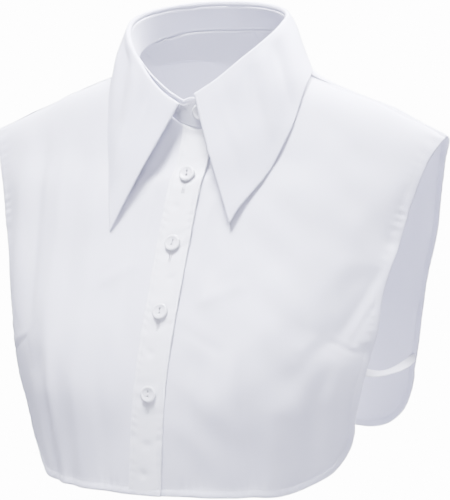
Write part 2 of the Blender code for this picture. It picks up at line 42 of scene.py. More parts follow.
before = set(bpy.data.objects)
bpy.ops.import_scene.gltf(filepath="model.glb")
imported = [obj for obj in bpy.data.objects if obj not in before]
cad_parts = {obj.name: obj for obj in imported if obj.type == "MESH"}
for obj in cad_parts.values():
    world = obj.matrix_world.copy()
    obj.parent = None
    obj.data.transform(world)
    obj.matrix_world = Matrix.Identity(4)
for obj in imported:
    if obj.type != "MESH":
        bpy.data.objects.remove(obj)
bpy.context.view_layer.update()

CM = 0.01

# Worn form, as in the part's source
TIP_X = 18.2
TIP_Z = -4.4
RIDGE_Y_TIP = -0.5
RIDGE_Y_NECK = -0.9
RIDGE_SLOPE = 0.375
RIDGE_CROWN = 0.42
NECK_X = 6.2
NECK_RISE = 1.45
NECK_FADE = 1.2
NECK_HILL = 3.5
SHOULDER_ROUND = 3.0
NAPE_ROUND = 3.4
NAPE_X = 6.5
NAPE_SPREAD = 3.6
SIDE_SQUARENESS = 2.5
BODY_COLUMNS = ("height", "side_x", "front_middle", "front_side", "back_middle", "back_side")
BODY_ROWS = (
    (4.0, 18.2, 4.2, 1.9, 7.4, 2.2),
    (-4.4, 18.2, 4.55, 2.0, 8.0, 2.4),
    (-6.0, 17.45, 5.0, 2.3, 8.3, 2.6),
    (-8.0, 16.85, 5.95, 2.75, 8.8, 2.85),
    (-12.0, 15.95, 7.45, 3.6, 9.1, 3.5),
    (-15.0, 15.15, 8.65, 4.45, 9.1, 3.85),
    (-18.0, 14.75, 9.7, 4.75, 8.9, 3.8),
    (-22.0, 13.85, 10.55, 5.2, 8.4, 4.3),
    (-26.0, 12.95, 10.85, 5.0, 8.0, 4.2),
    (-30.0, 12.3, 10.9, 4.9, 7.8, 4.1),
)
BUST_X = 7.6
BUST_Z = -20.5
BUST_HEIGHT = 0.8
BUST_SPREAD_X = 4.2
BUST_SPREAD_Z = 5.0
MIDDLE_ROWS = (
    (0.0, 0.9),
    (-4.0, 0.85),
    (-8.0, 0.65),
    (-12.0, 0.5),
    (-17.0, 0.4),
    (-22.0, 0.15),
    (-30.0, -0.2),
)

# Neck seam and fold line of the collar; a row is an angle from the front and both heights
NECK_CENTRE = (0.0, -0.5)
NECK_HALF_WIDTH = 6.2
NECK_FRONT = 4.4
NECK_BACK = 4.9
NECK_THROAT_X = 0.85
FOLD_CENTRE = (-0.35, -1.2)
FOLD_HALF_WIDTH = 6.1
FOLD_FRONT = 4.3
FOLD_BACK = 5.1
FOLD_THROAT_X = -0.2
FOLD_LEAN = 0.15
RING_ROWS = (
    (0.0, -3.8, -1.8),
    (10.0, -3.6, -1.25),
    (20.0, -3.0, -0.6),
    (45.0, -1.2, 1.35),
    (70.0, 0.6, 2.9),
    (90.0, 1.5, 3.8),
    (135.0, 2.9, 4.9),
    (180.0, 3.15, 5.25),
    (225.0, 2.9, 4.9),
)
SEAM_ANGLE = 84.0
SEAM_TURN = 22.0
NECK_JOIN = 0.04

# Panels; a grid is its columns and rows, a width and length the panel's size in centimetres
PANEL_WIDTH = 17.0
PANEL_LENGTH = 27.0
FRONT_GRID = (150, 185)
BACK_GRID = (112, 165)
EDGE_BAND = 0.84
EDGE_STEP = 0.07
LAYER = 0.16
STAND_WIDTH = 1.2
LAP_WIDTH = 1.3
LAP_FADE = 1.8
LAP_DROP = 0.09
LAP_BEND = 0.5
FRONT_HEM_Z = -29.4
FRONT_HEM_LIFT = 0.15
FRONT_CORNER = 5.0
BACK_HEM_Z = -26.4
BACK_CORNER = 4.8
NECK_SHARE = 0.42
ROW_SPACING = 0.8
NECK_BLEND = 0.12
PULL_FADE = 1.5
EDGE_SAMPLES = 160
ARC_SAMPLES = 24
INNER_STEPS = 4
ROLL_DEPTH = 0.2
ROLL_REACH = 4.2
ROLL_FROM = 5.0
ROLL_FADE = 5.0
FOLD_REACH_UP = 0.25
FOLD_REACH_DOWN = 0.35
FOLD_FADE = 0.4

# Soft folds and creases: start x and height, end x and height, half width, how far they stand out
FOLD_COLUMNS = ("x0", "z0", "x1", "z1", "half_width", "out")
FRONT_FOLDS = (
    (15.6, -12.5, 14.9, -18.0, 1.0, 0.35),
    (13.6, -14.0, 12.6, -18.5, 1.3, -0.25),
    (5.0, -21.5, 4.6, -29.5, 1.5, 0.22),
    (9.4, -22.5, 8.4, -29.0, 1.4, 0.25),
    (-14.4, -8.0, -13.2, -20.0, 1.5, 0.22),
    (-11.3, -7.0, -10.4, -19.0, 1.7, 0.2),
    (-9.6, -22.0, -9.2, -29.5, 1.6, 0.28),
    (-5.2, -21.0, -5.0, -29.5, 1.5, 0.2),
)
THROAT_HOLLOW = (0.7, -3.9, 0.7, -6.6, 1.9, -0.34)
LEFT_CREASES = (
    THROAT_HOLLOW,
    (12.0, -18.4, 13.3, -19.25, 0.12, -0.07),
    (13.1, -19.15, 14.5, -19.7, 0.12, -0.05),
    (12.1, -18.15, 13.4, -18.85, 0.2, 0.045),
    (12.4, -18.9, 14.2, -19.9, 0.3, 0.05),
    (13.3, -18.6, 14.6, -16.2, 0.22, -0.05),
    (12.8, -20.0, 12.1, -22.6, 0.4, 0.06),
    (12.0, -20.6, 11.0, -24.4, 0.5, -0.05),
    (10.2, -20.4, 9.4, -22.6, 0.5, -0.04),
    (11.9, -18.3, 10.2, -17.4, 0.3, -0.015),
    (11.9, -18.6, 10.7, -20.4, 0.4, -0.035),
    (12.0, -18.0, 11.7, -15.6, 0.35, -0.03),
    (11.3, -18.2, 10.4, -19.0, 0.4, 0.05),
    (14.9, -13.6, 13.0, -17.4, 0.4, -0.12),
    (16.2, -8.2, 15.1, -12.6, 0.5, -0.09),
    (13.4, -9.5, 12.0, -16.0, 0.9, 0.07),
    (7.0, -20.5, 7.4, -28.8, 0.55, -0.13),
    (5.9, -20.8, 6.4, -28.8, 0.5, 0.09),
    (8.8, -23.6, 8.5, -29.0, 0.6, 0.1),
    (11.4, -22.4, 10.6, -28.5, 0.6, -0.1),
    (3.6, -20.6, 3.3, -29.0, 0.6, -0.07),
    (3.2, -15.8, 5.8, -14.7, 0.5, 0.06),
    (2.0, -17.6, 4.9, -19.0, 0.5, -0.07),
    (3.0, -8.0, 2.5, -13.4, 0.45, 0.09),
    (3.4, -5.4, 2.9, -8.2, 0.5, -0.12),
    (4.2, -9.0, 3.9, -14.0, 0.6, -0.05),
    (12.0, -26.9, 12.9, -25.3, 0.3, -0.05),
)
RIGHT_CREASES = (
    THROAT_HOLLOW,
    (-12.0, -19.1, -13.5, -20.0, 0.12, -0.06),
    (-13.3, -19.95, -14.4, -20.4, 0.12, -0.05),
    (-12.2, -18.8, -13.8, -19.6, 0.22, 0.045),
    (-13.0, -18.8, -14.2, -16.6, 0.22, -0.05),
    (-11.9, -19.3, -10.5, -18.0, 0.35, -0.025),
    (-11.9, -19.5, -11.4, -21.4, 0.35, -0.06),
    (-8.8, -20.2, -7.5, -29.5, 0.6, 0.17),
    (-10.1, -20.9, -8.7, -29.5, 0.8, -0.2),
    (-12.3, -20.8, -10.4, -29.5, 0.6, -0.06),
    (-12.6, -5.8, -11.8, -16.0, 0.6, -0.17),
    (-14.0, -6.3, -13.5, -17.5, 0.9, 0.2),
    (-15.6, -8.5, -14.8, -17.5, 0.7, -0.1),
    (-10.4, -5.4, -9.6, -16.5, 0.6, 0.1),
    (-8.7, -5.0, -7.9, -17.0, 0.6, -0.08),
    (-6.6, -9.5, -6.2, -18.0, 0.6, 0.07),
    (-3.0, -10.5, -2.6, -17.5, 0.5, -0.08),
    (-2.4, -6.4, -3.6, -8.6, 0.4, 0.08),
    (-1.1, -4.3, -2.3, -6.8, 0.6, -0.26),
    (-1.6, -8.4, -1.9, -11.4, 0.3, -0.07),
    (-4.2, -20.8, -3.5, -29.3, 0.6, -0.09),
    (-6.3, -21.5, -5.6, -29.3, 0.55, 0.07),
    (-2.4, -13.4, -4.6, -14.6, 0.4, 0.05),
)
BACK_FOLDS = (
    (-7.5, -9.0, -6.0, -26.0, 1.8, 0.3),
    (0.8, -7.0, 0.4, -26.5, 2.0, -0.25),
    (7.2, -8.0, 6.4, -26.0, 1.8, 0.3),
    (12.4, -12.0, 11.6, -24.0, 1.3, 0.2),
    (-12.3, -11.0, -11.8, -24.0, 1.3, 0.2),
)
BACK_CREASES = (
    (0.75, 3.05, 1.35, 1.7, 0.13, 0.13),
    (1.2, 3.0, 1.8, 1.7, 0.2, -0.1),
    (-2.2, 2.6, -3.0, 0.4, 0.6, 0.07),
    (3.0, 1.6, 3.6, -1.6, 0.6, 0.06),
    (-3.4, -15.5, -2.7, -25.8, 0.8, 0.09),
    (3.9, -17.5, 3.3, -25.8, 0.7, -0.08),
    (9.8, -14.0, 9.2, -25.0, 0.7, -0.09),
    (-9.7, -12.5, -9.0, -25.0, 0.8, -0.1),
    (13.9, -8.5, 13.2, -16.0, 0.6, 0.08),
    (-14.1, -9.0, -13.5, -17.0, 0.6, 0.08),
    (5.6, -4.0, 4.2, -9.5, 0.7, -0.06),
    (-5.2, -3.6, -4.0, -9.0, 0.7, -0.06),
)
LEAF_CREASES = (
    (6.2, 1.9, 7.8, -2.2, 0.35, -0.2),
    (5.2, 1.6, 6.8, -3.6, 0.5, 0.17),
    (7.6, 2.0, 8.4, -0.6, 0.4, 0.1),
    (3.2, -1.4, 4.9, -7.2, 0.6, -0.12),
    (2.4, -0.6, 4.3, -4.5, 0.45, 0.09),
    (4.6, 0.4, 5.6, -2.6, 0.4, -0.09),
    (-5.7, 2.2, -5.3, -3.4, 0.8, -0.14),
    (-4.5, 0.4, -4.9, -6.4, 0.7, 0.17),
    (-3.3, -1.6, -4.5, -7.4, 0.5, -0.12),
    (-6.7, 1.6, -6.2, -2.4, 0.5, 0.06),
    (-2.6, -0.9, -3.4, -3.6, 0.4, 0.09),
)

# Button band; the pulls are waves that a button draws into it, the dimples a height and a place across
PLACKET_WIDTH = 2.55
PLACKET_REACH = 0.6
PLACKET_SAMPLES = 240
BAND_GRID = (40, 250)
BAND_LIFT = 0.72
BAND_LAYERS = 1.5
BAND_DIP = 0.8
PULL_RISE = 0.042
PULL_WAVES = 5.2
PULL_SLANT = 1.5
PULL_DROP = 0.3
PULL_REACH = 1.1
PULL_WIDTH = 0.9
HOLLOW_DEPTH = 0.03
HOLLOW_WIDTH = 0.6
DIMPLE_DEPTH = 0.065
DIMPLE_HEIGHT = 0.3
DIMPLE_WIDTH = 0.35
BAND_DIMPLES = ((-25.8, -0.1), (-27.9, 0.1), (-9.3, 0.35), (-14.2, -0.4), (-19.4, 0.3))

# Collar stand; its right end laps over the left one and shows a little higher at the throat
STAND_GRID = (281, 25)
STAND_END = 11.0
STAND_TOP_DROP = 0.34
STAND_END_DROP = 0.75
STAND_END_ROUND = 10.0
STAND_LAP_START = 310.0
STAND_LAP_TURN = 34.0
PEEK_START = 300.0
PEEK_TURN = 40.0
PEEK_INWARD = 0.14
PEEK_RISE = 0.36

# Collar leaf; a row of its edge is an angle, x, w, lean to the left, height off the body
LEAF_GRID = (301, 61)
FOLD_STEPS = 12
FOLD_RADIUS = 0.14
FOLD_TUCK = 0.02
FOLD_TURN_END = 45.0
LEAF_START = 9.0
LEAF_END = 357.5
LEAF_ROLL = 0.2
LEAF_EASE = 0.3
LEAF_ARRIVE = 0.6
LEAF_BEND = 3.2
LEAF_BEND_INWARD = 0.35
LEAF_SOFTEN = 10.0
LEAF_CREASE_END = 120.0
LEAF_REST = 0.1
TIP_REST = 0.24
TIP_REST_REACH = 50.0
TIP_REACH = 32.0
LEFT_TIP_IN = 0.28
LEFT_TIP_DOWN = -0.035
RIGHT_TIP_DOWN = 0.038
CORNER_DROP = 0.4
CORNER_START = 300.0
CORNER_TURN = 50.0
CORNER_LIFT = 0.14
CORNER_LIFT_REACH = 40.0
EDGE_LAST = 179.99
EDGE_ROWS = (
    (0.0, 4.85, 3.73, 0.0, 0.3),
    (20.0, 5.55, 3.3, 0.1, 0.32),
    (42.0, 6.65, 2.6, 0.35, 0.35),
    (65.0, 7.5, 1.6, 0.6, 0.4),
    (90.0, 7.6, 0.2, 0.3, 0.38),
    (115.0, 6.3, -0.9, 0.0, 0.38),
    (145.0, 4.2, -1.6, 0.0, 0.5),
    (180.0, 0.0, -2.07, 0.0, 0.6),
    (215.0, -4.2, -1.6, 0.0, 0.5),
)

# Sewing: lumps, puckers (reach and height), hems, seams, darts and buttonholes
RIM_DRAW = 0.55
PANEL_LUMPS = 0.05
STAND_LUMPS = 0.02
LEAF_LUMPS = 0.03
HEM_PUCKER = (0.5, 0.032)
BAND_PUCKER = (0.35, 0.02)
HEM_RAMP = 0.08
HEM_SWELL = 0.03
HEM_LAYERS = 1.5
HEM_FLARE = 0.1
FLARE_START = -17.0
FLARE_FADE = 6.0
SHOULDER_SEAM = 0.3
SEAM_RISE = 0.035
SEAM_GROOVE = 0.045
SEAM_SOFT = 0.07
SEWN_DIP = 0.03
SEWN_DIP_WIDTH = 0.08
LINE_STEP = 0.06
LEFT_DARTS = ((12.0, -18.4, 13.35, -19.28),)
RIGHT_DARTS = ((-12.0, -19.1, -13.55, -20.03),)
DART_SAMPLES = 40
DART_RADIUS = 0.03
DART_SINK = 0.012
UNEVEN_LENGTHS = (9.0, 6.5, 4.4, 3.1, 2.2)
HOLE_STEPS = 60
HOLE_ABOVE = 0.22
HOLE_ROW = 0.075
HOLE_ZIGZAG = 0.045
HOLE_BAR = 0.13

# Buttons; the profile is shares of the radius and of the thickness
BUTTON_HEIGHTS = (-7.0, -11.8, -16.5, -22.2)
BUTTON_TURNS = (8.0, 4.0, -14.0, 3.0, -4.0)
BUTTON_STAND_OFF = 0.11
STAND_BUTTON_SHARE = 0.5
STAND_BUTTON_ANGLE = 367.0
BUTTON_PROFILE = (
    (0.0, 0.30), (0.30, 0.30), (0.52, 0.31), (0.62, 0.36), (0.70, 0.47), (0.78, 0.50), (0.90, 0.46),
    (0.97, 0.34), (1.0, 0.12), (1.0, -0.12), (0.96, -0.34), (0.86, -0.46), (0.6, -0.5), (0.0, -0.5),
)
BUTTON_SIDES = 64
DISH_SHARE = 0.31
THREAD_HOLE_AT = 0.14
THREAD_HOLE_RADIUS = 0.082
THREAD_HOLE_SIDES = 24
THREAD_HOLE_DEPTH = 0.6
THREAD_STEPS = 15
THREAD_APART = 0.014
THREAD_RADIUS = 0.012
THREAD_DIP = 0.25
SHANK_RADIUS = 0.09

# Side straps
STRAP_GRID = (90, 10)
STRAP_HEIGHT = -20.7
STRAP_SAG = 0.5
STRAP_HOLD = 0.9
STRAP_SAMPLES = 400
STRAP_NEAR_EDGE = (0.9, 0.95, 1.0)
STRAP_TURN = math.radians(68.0)

# Cottons: material name, threads in a metre or the weave's own spacing, bump, roughness
COTTONS = {
    "cloth": ("white_cotton", None, 0.3, 0.78),
    "collar": ("collar_cotton", None, 0.25, 0.72),
    "band": ("band_cotton", None, 0.25, 0.72),
    "strap": ("strap_elastic", 1100.0, 0.7, 0.55),
}

# Stage, in metres: each lamp's name, aim, distance, size and spread in degrees
CHEST = (0.01, -0.08, -0.09)
MIDDLE = (0.0, 0.0, -0.12)
LAMPS = (
    ("main_light", CHEST, 1.3, 0.62, 42.0),
    ("fill_light", MIDDLE, 2.6, 0.8, 180.0),
    ("back_light", MIDDLE, 2.4, 1.2, 180.0),
)
FILL_HEIGHT = math.radians(26.0)
BACK_TURN = math.radians(155.0)
BACK_HEIGHT = math.radians(55.0)
SKY_RANGE = (-0.6, 0.9)
SKY_SHADES = (0.45, 1.75)
FLOOR_INNER = 0.5
FLOOR_REACH = 60.0
FLOOR_RINGS = 24
FLOOR_SIDES = 96


def length_setting(label, about, default, low, high):
    """A length that a user can set, in metres."""
    return bpy.props.FloatProperty(
        name=label, description=about, default=default, min=low, max=high, unit="LENGTH", subtype="DISTANCE",
    )


def colour_setting(label, about, default):
    """A colour that a user can set."""
    return bpy.props.FloatVectorProperty(
        name=label, description=about, default=default, size=3, min=0.0, max=1.0, subtype="COLOR",
    )


def angle_setting(label, about, degrees):
    """An angle that a user can set."""
    return bpy.props.FloatProperty(
        name=label, description=about, default=math.radians(degrees), unit="ROTATION", subtype="ANGLE",
    )


def power_setting(label, about, watts):
    """The power of a lamp."""
    return bpy.props.FloatProperty(
        name=label, description=about, default=watts, min=0.0, max=2000.0, unit="POWER",
    )


def number_setting(label, about, default, low, high):
    """A number without a unit."""
    return bpy.props.FloatProperty(name=label, description=about, default=default, min=low, max=high)


class HalfShirtSizes(bpy.types.PropertyGroup):
    """Sewing sizes of the half shirt"""

    cloth: length_setting("Cloth", "Thickness of one layer of cloth", 0.0006, 0.0002, 0.002)
    collar: length_setting("Collar", "Thickness of the doubled, stiffened collar cloth", 0.0011, 0.0004, 0.003)
    hem: length_setting("Hem", "Width of the turned hems", 0.0065, 0.003, 0.02)
    hem_stitch: length_setting("Hem stitch", "How far the hem stitches lie from the edge", 0.0052, 0.001, 0.02)
    edge_stitch: length_setting(
        "Edge stitch", "How far the collar and placket stitches lie from the edge", 0.0022, 0.001, 0.01,
    )
    stitch: length_setting("Stitch", "Length from one stitch to the next", 0.0026, 0.001, 0.006)
    thread: length_setting("Thread", "Thickness of the sewing thread", 0.00032, 0.0001, 0.001)
    weave: length_setting("Weave", "Spacing of the threads in the cloth", 0.00036, 0.0001, 0.002)
    button: length_setting("Button", "Width of a button", 0.012, 0.006, 0.02)
    button_rise: length_setting("Button thickness", "Thickness of a button at its rim", 0.0024, 0.001, 0.005)
    buttonhole: length_setting("Buttonhole", "Length of a buttonhole", 0.0165, 0.008, 0.03)
    strap: length_setting("Strap", "Width of a side strap", 0.006, 0.003, 0.02)
    strap_rise: length_setting("Strap thickness", "Thickness of a side strap", 0.0009, 0.0004, 0.003)


class HalfShirtColours(bpy.types.PropertyGroup):
    """Colours of the half shirt"""

    cloth: colour_setting("Cloth", "Colour of the cotton", (0.75, 0.75, 0.83))
    collar: colour_setting("Collar", "Colour of the doubled cotton of the collar", (0.76, 0.76, 0.86))
    # The band is a lighter copy of the cotton: partly its doubled cloth, partly a painted highlight where the flat
    # band catches more light
    band: colour_setting("Band", "Colour of the doubled cotton of the button band", (0.92, 0.92, 0.99))
    thread: colour_setting("Thread", "Colour of the sewing thread", (0.83, 0.83, 0.87))
    button: colour_setting("Button", "Colour of the buttons", (0.84, 0.84, 0.87))
    strap: colour_setting("Strap", "Colour of the side straps", (0.82, 0.82, 0.86))


class HalfShirtStage(bpy.types.PropertyGroup):
    """Floor, light and camera"""

    floor_colour: colour_setting("Floor", "Colour of the floor", (0.55, 0.55, 0.57))
    floor_drop: length_setting("Floor drop", "How far below the neck the floor lies", 0.9, 0.4, 3.0)
    around: number_setting("Light all round", "Strength of the even light from all sides", 0.26, 0.0, 8.0)
    around_colour: colour_setting("Colour all round", "Colour of the even light from all sides", (0.74, 0.75, 1.0))
    backdrop: number_setting("Backdrop", "How bright the floor and the space behind look", 14.0, 0.0, 30.0)
    key: power_setting("Main light", "Power of the soft light in front", 12.2)
    fill: power_setting("Fill light", "Power of the weak light beside the camera", 36.0)
    behind: power_setting("Back light", "Power of the light behind", 520.0)
    light_colour: colour_setting("Light colour", "Colour of the soft lights", (0.87, 0.875, 1.0))
    key_turn: angle_setting("Main light turn", "Angle of the main light round the garment", -2.0)
    key_height: angle_setting("Main light height", "Angle of the main light above the level", 76.0)
    camera_turn: angle_setting("Camera turn", "Angle of the camera round the garment, from straight in front", 26.0)
    camera_height: angle_setting("Camera height", "Angle of the camera above the level", 5.0)
    camera_roll: angle_setting("Camera roll", "Turn of the camera about its own line of sight", -0.5)
    camera_distance: length_setting("Camera distance", "Distance from the camera to its aim", 2.0, 0.5, 10.0)
    camera_aim: bpy.props.FloatVectorProperty(
        name="Camera aim", description="Point in the middle of the picture", size=3,
        default=(0.0042, 0.0, -0.13), subtype="TRANSLATION", unit="LENGTH",
    )
    camera_lens: number_setting("Lens", "Focal length in millimetres", 195.235, 20.0, 400.0)


def table_value(rows, column, at):
    """Smooth curve through one column of a table, by cubic steps between its rows."""
    table = np.array(sorted(rows))
    knots = table[:, 0]
    values = table[:, column]
    slopes = np.gradient(values, knots)
    at = np.clip(np.asarray(at, dtype=float), knots[0], knots[-1])
    low = np.clip(np.searchsorted(knots, at) - 1, 0, len(knots) - 2)
    span = knots[low + 1] - knots[low]
    t = (at - knots[low]) / span
    start = values[low] * (1 + 2 * t) * (1 - t) ** 2 + slopes[low] * span * t * (1 - t) ** 2
    end = values[low + 1] * t * t * (3 - 2 * t) + slopes[low + 1] * span * t * t * (t - 1)
    return start + end


def smooth_step(t):
    """0 below 0, 1 above 1, and 3t^2 - 2t^3 between."""
    t = np.clip(t, 0.0, 1.0)
    return t * t * (3 - 2 * t)


def body_column(name, height):
    """One column of the worn form at a height."""
    return table_value(BODY_ROWS, BODY_COLUMNS.index(name), height)


def ridge_height(x):
    """Height of the shoulder ridge over x, carried on as a low hill inside the neck."""
    away = np.abs(x)
    share = np.clip((TIP_X - away) / (TIP_X - NECK_X), 0, 1)
    slope = TIP_Z + RIDGE_SLOPE * (TIP_X - away) + RIDGE_CROWN * 4 * share * (1 - share)
    outside = slope + NECK_RISE * np.exp(-(np.maximum(away, NECK_X) - NECK_X) / NECK_FADE)
    at_neck = TIP_Z + RIDGE_SLOPE * (TIP_X - NECK_X) + NECK_RISE
    inside = at_neck + NECK_HILL * (1 - (away / NECK_X) ** 2)
    return np.where(away < NECK_X, inside, outside)


def way_down(x, height, side):
    """w of the point at x and height: the signed root of its drop below the ridge, plus in front."""
    return side * np.sqrt(np.maximum(ridge_height(x) - height, 0.0))


def body_surface(x, w):
    """Worn form: height is the ridge less w squared, depth an oval across x times a round shoulder."""
    height = ridge_height(x) - w * w
    across = 1 - np.clip(np.abs(x) / body_column("side_x", height), 0, 1.15) ** SIDE_SQUARENESS
    front_side = body_column("front_side", height)
    back_side = body_column("back_side", height)
    front = front_side + (body_column("front_middle", height) - front_side) * across
    back = back_side + (body_column("back_middle", height) - back_side) * across
    bust = np.exp(-((np.abs(x) - BUST_X) / BUST_SPREAD_X) ** 2 - ((height - BUST_Z) / BUST_SPREAD_Z) ** 2)
    front = front + BUST_HEIGHT * bust
    nape = NAPE_ROUND * np.exp(-((np.abs(x) - NAPE_X) / NAPE_SPREAD) ** 2)
    rounding = SHOULDER_ROUND + np.where(w < 0, nape, 0.0)
    over = np.sign(w) * np.sqrt(1 - np.exp(-w * w / rounding))
    ridge_y = RIDGE_Y_NECK + (RIDGE_Y_TIP - RIDGE_Y_NECK) * np.abs(x) / TIP_X
    y = ridge_y - np.where(w > 0, front, back) * over
    return np.stack([x + 0 * y, y, height + 0 * y], axis=-1)


def ring_angle(angle):
    """Angle from the front, 0 to 180, whichever way round."""
    return np.abs((np.asarray(angle) + 180.0) % 360.0 - 180.0)


def oval(angle, centre, half_width, front, back, throat_x):
    """Plan of a neck ring: half an ellipse in front, half behind, its front drawn to the middle line."""
    turn = np.radians(angle)
    depth = np.where(np.cos(turn) > 0, front, back)
    to_throat = (0.5 + 0.5 * np.cos(turn)) ** 3
    x = centre[0] + half_width * np.sin(turn) + (throat_x - centre[0]) * to_throat
    return x, centre[1] - depth * np.cos(turn)


def neck_point(angle):
    """Point of the neck seam: its oval plan at the height of its row."""
    x, y = oval(angle, NECK_CENTRE, NECK_HALF_WIDTH, NECK_FRONT, NECK_BACK, NECK_THROAT_X)
    return np.stack([x, y, table_value(RING_ROWS, 1, ring_angle(angle))], axis=-1)


def fold_point(angle):
    """Point of the collar's fold: its oval plan at its row's height, leaning to one side."""
    x, y = oval(angle, FOLD_CENTRE, FOLD_HALF_WIDTH, FOLD_FRONT, FOLD_BACK, FOLD_THROAT_X)
    height = table_value(RING_ROWS, 2, ring_angle(angle)) - FOLD_LEAN * np.sin(np.radians(angle))
    return np.stack([x, y, height], axis=-1)


def ring_outward(angle):
    """Level direction straight out of the fold ring."""
    turn = np.radians(angle)
    depth = np.where(np.cos(turn) > 0, FOLD_FRONT, FOLD_BACK)
    out = np.stack([np.sin(turn) / FOLD_HALF_WIDTH, -np.cos(turn) / depth, 0 * turn], axis=-1)
    return out / np.linalg.norm(out, axis=-1, keepdims=True)


def unit(vectors):
    """The vectors at length 1."""
    return vectors / np.maximum(np.linalg.norm(vectors, axis=-1, keepdims=True), 1e-12)


def grid_facing(points):
    """1 or -1, so that the cross product of a grid's two directions points away from the middle."""
    normal = np.cross(np.gradient(points, axis=0), np.gradient(points, axis=1))
    away = points - np.array([0.0, 0.0, -12.0])
    return float(np.sign(np.sum(unit(normal) * away, axis=-1).mean()))


def outward_normals(points):
    """Unit normals of a grid, from the cross product of its two directions, turned outwards."""
    normal = unit(np.cross(np.gradient(points, axis=0), np.gradient(points, axis=1)))
    normal[-1, -1] = normal[-3, -3]
    normal[0, -1] = normal[2, -3]
    return normal * grid_facing(points)


def patch_between(top, bottom, inner, outer, u, v):
    """Grid of (x, w) filled in between four edges: rows plus columns less the corners."""
    u_grid, v_grid = np.meshgrid(u, v, indexing="ij")
    u3 = u_grid[..., None]
    v3 = v_grid[..., None]
    rows = (1 - v3) * top(u)[:, None] + v3 * bottom(u)[:, None]
    columns = (1 - u3) * inner(v)[None] + u3 * outer(v)[None]
    ends = np.array([0.0, 1.0])
    first, last = top(ends)
    low_first, low_last = bottom(ends)
    corners = (1 - u3) * (1 - v3) * first + u3 * (1 - v3) * last
    corners = corners + (1 - u3) * v3 * low_first + u3 * v3 * low_last
    return rows + columns - corners


def by_share(samples, share):
    """Points at the given shares of a finely sampled edge, measured by its w."""
    way = np.abs(samples[:, 1] - samples[0, 1])
    place = way / way[-1]
    return np.stack([np.interp(share, place, samples[:, k]) for k in (0, 1)], axis=-1)


def by_length(samples, share):
    """Points at the given shares of the length of a finely sampled edge."""
    steps = np.linalg.norm(np.diff(samples, axis=0), axis=1)
    place = np.concatenate([[0.0], np.cumsum(steps)])
    place = place / place[-1]
    return np.stack([np.interp(share, place, samples[:, k]) for k in (0, 1)], axis=-1)


def corner_arc(side_x_at, corner_z, radius, start, end):
    """Part of the rounded corner between the hem (0 degrees) and the side edge (90)."""
    turn = np.radians(np.linspace(start, end, ARC_SAMPLES))
    return side_x_at - radius + radius * np.sin(turn), corner_z - radius * np.cos(turn)


def neck_share(u):
    """Share of the way along the neck edge, which takes the first part of a panel's width."""
    return np.clip(u / NECK_SHARE, 0, 1)


def panel_top(side, mirror, first_angle):
    """Neck edge, then shoulder seam, as a function of u that gives (x, w)."""
    neck_end = neck_point(mirror * SEAM_ANGLE)
    seam_x = mirror * neck_end[0]
    seam_w = float(way_down(seam_x, neck_end[2], 1))

    def top(u):
        angle = first_angle + (SEAM_ANGLE - first_angle) * neck_share(u)
        neck = neck_point(mirror * angle)
        neck_x = mirror * neck[:, 0]
        neck_w = way_down(neck_x, neck[:, 2] - NECK_JOIN, side)
        if side < 0:
            turned = smooth_step((SEAM_ANGLE + SEAM_TURN - angle) / SEAM_TURN)
            neck_w = neck_w * (1 - turned) + seam_w * turned
        out = np.clip((u - NECK_SHARE) / (1 - NECK_SHARE), 0, 1)
        x = np.where(u < NECK_SHARE, neck_x, seam_x + (TIP_X - seam_x) * out)
        w = np.where(u < NECK_SHARE, neck_w, seam_w * (1 - out) ** 2)
        return np.stack([x, w], axis=-1)

    return top


def panel_edges(side, top, inner_x, hem_z, hem_lift, corner):
    """Hem, inner edge and side edge of half a panel, in (x, w), to go with its top."""
    corner_z = hem_z + corner
    side_at_corner = float(body_column("side_x", corner_z))
    tip = top(np.array([1.0]))

    def outer(v):
        heights = np.linspace(TIP_Z - 0.02, corner_z, EDGE_SAMPLES)
        arc_x, arc_z = corner_arc(side_at_corner, corner_z, corner, 90.0, 45.0)
        x = np.concatenate([body_column("side_x", heights), arc_x[1:]])
        heights = np.concatenate([heights, arc_z[1:]])
        samples = np.stack([x, way_down(x, heights, side)], axis=-1)
        return by_share(np.concatenate([tip, samples]), v)

    def bottom(u):
        arc_x, arc_z = corner_arc(side_at_corner, corner_z, corner, 0.0, 45.0)
        straight = np.linspace(inner_x(hem_z), arc_x[0], EDGE_SAMPLES)
        rise = hem_lift * (straight / arc_x[0]) ** 2
        fade = np.cos(np.linspace(0, math.pi / 2, len(arc_z)))
        x = np.concatenate([straight, arc_x[1:]])
        heights = np.concatenate([hem_z + rise, (arc_z + hem_lift * fade)[1:]])
        return by_length(np.stack([x, way_down(x, heights, side)], axis=-1), u)

    first = top(np.array([0.0]))[0]
    last = bottom(np.array([0.0]))[0]

    def inner(v):
        way = first[1] + (last[1] - first[1]) * v
        x = np.full_like(v, first[0])
        for _ in range(INNER_STEPS):
            x = inner_x(ridge_height(x) - way * way)
        ends = (1 - v) * (first[0] - x[0]) + v * (last[0] - x[-1])
        return np.stack([x + ends, way], axis=-1)

    return bottom, inner, outer


def half_panel(u, v, side, mirror, first_angle, inner_x, hem_z, hem_lift, corner):
    """Half a panel as points: the patch of (x, w) laid on the worn form, then drawn to the neck seam."""
    top = panel_top(side, mirror, first_angle)
    bottom, inner, outer = panel_edges(side, top, inner_x, hem_z, hem_lift, corner)
    patch = patch_between(top, bottom, inner, outer, u, v)
    points = body_surface(patch[..., 0], patch[..., 1])
    top_line = top(u)
    neck = neck_point(mirror * (first_angle + (SEAM_ANGLE - first_angle) * neck_share(u)))
    neck[:, 0] *= mirror
    neck[:, 2] -= NECK_JOIN
    pull = neck - body_surface(top_line[:, 0], top_line[:, 1])
    last = np.argmax(u >= NECK_SHARE)
    fade = np.exp(-np.maximum(top_line[:, 0] - top_line[last, 0], 0) / PULL_FADE)
    pull = np.where((u <= NECK_SHARE)[:, None], pull, pull[last] * fade[:, None])
    points = points + pull[:, None] * np.exp(-v / NECK_BLEND)[None, :, None]
    points[..., 0] *= mirror
    return points


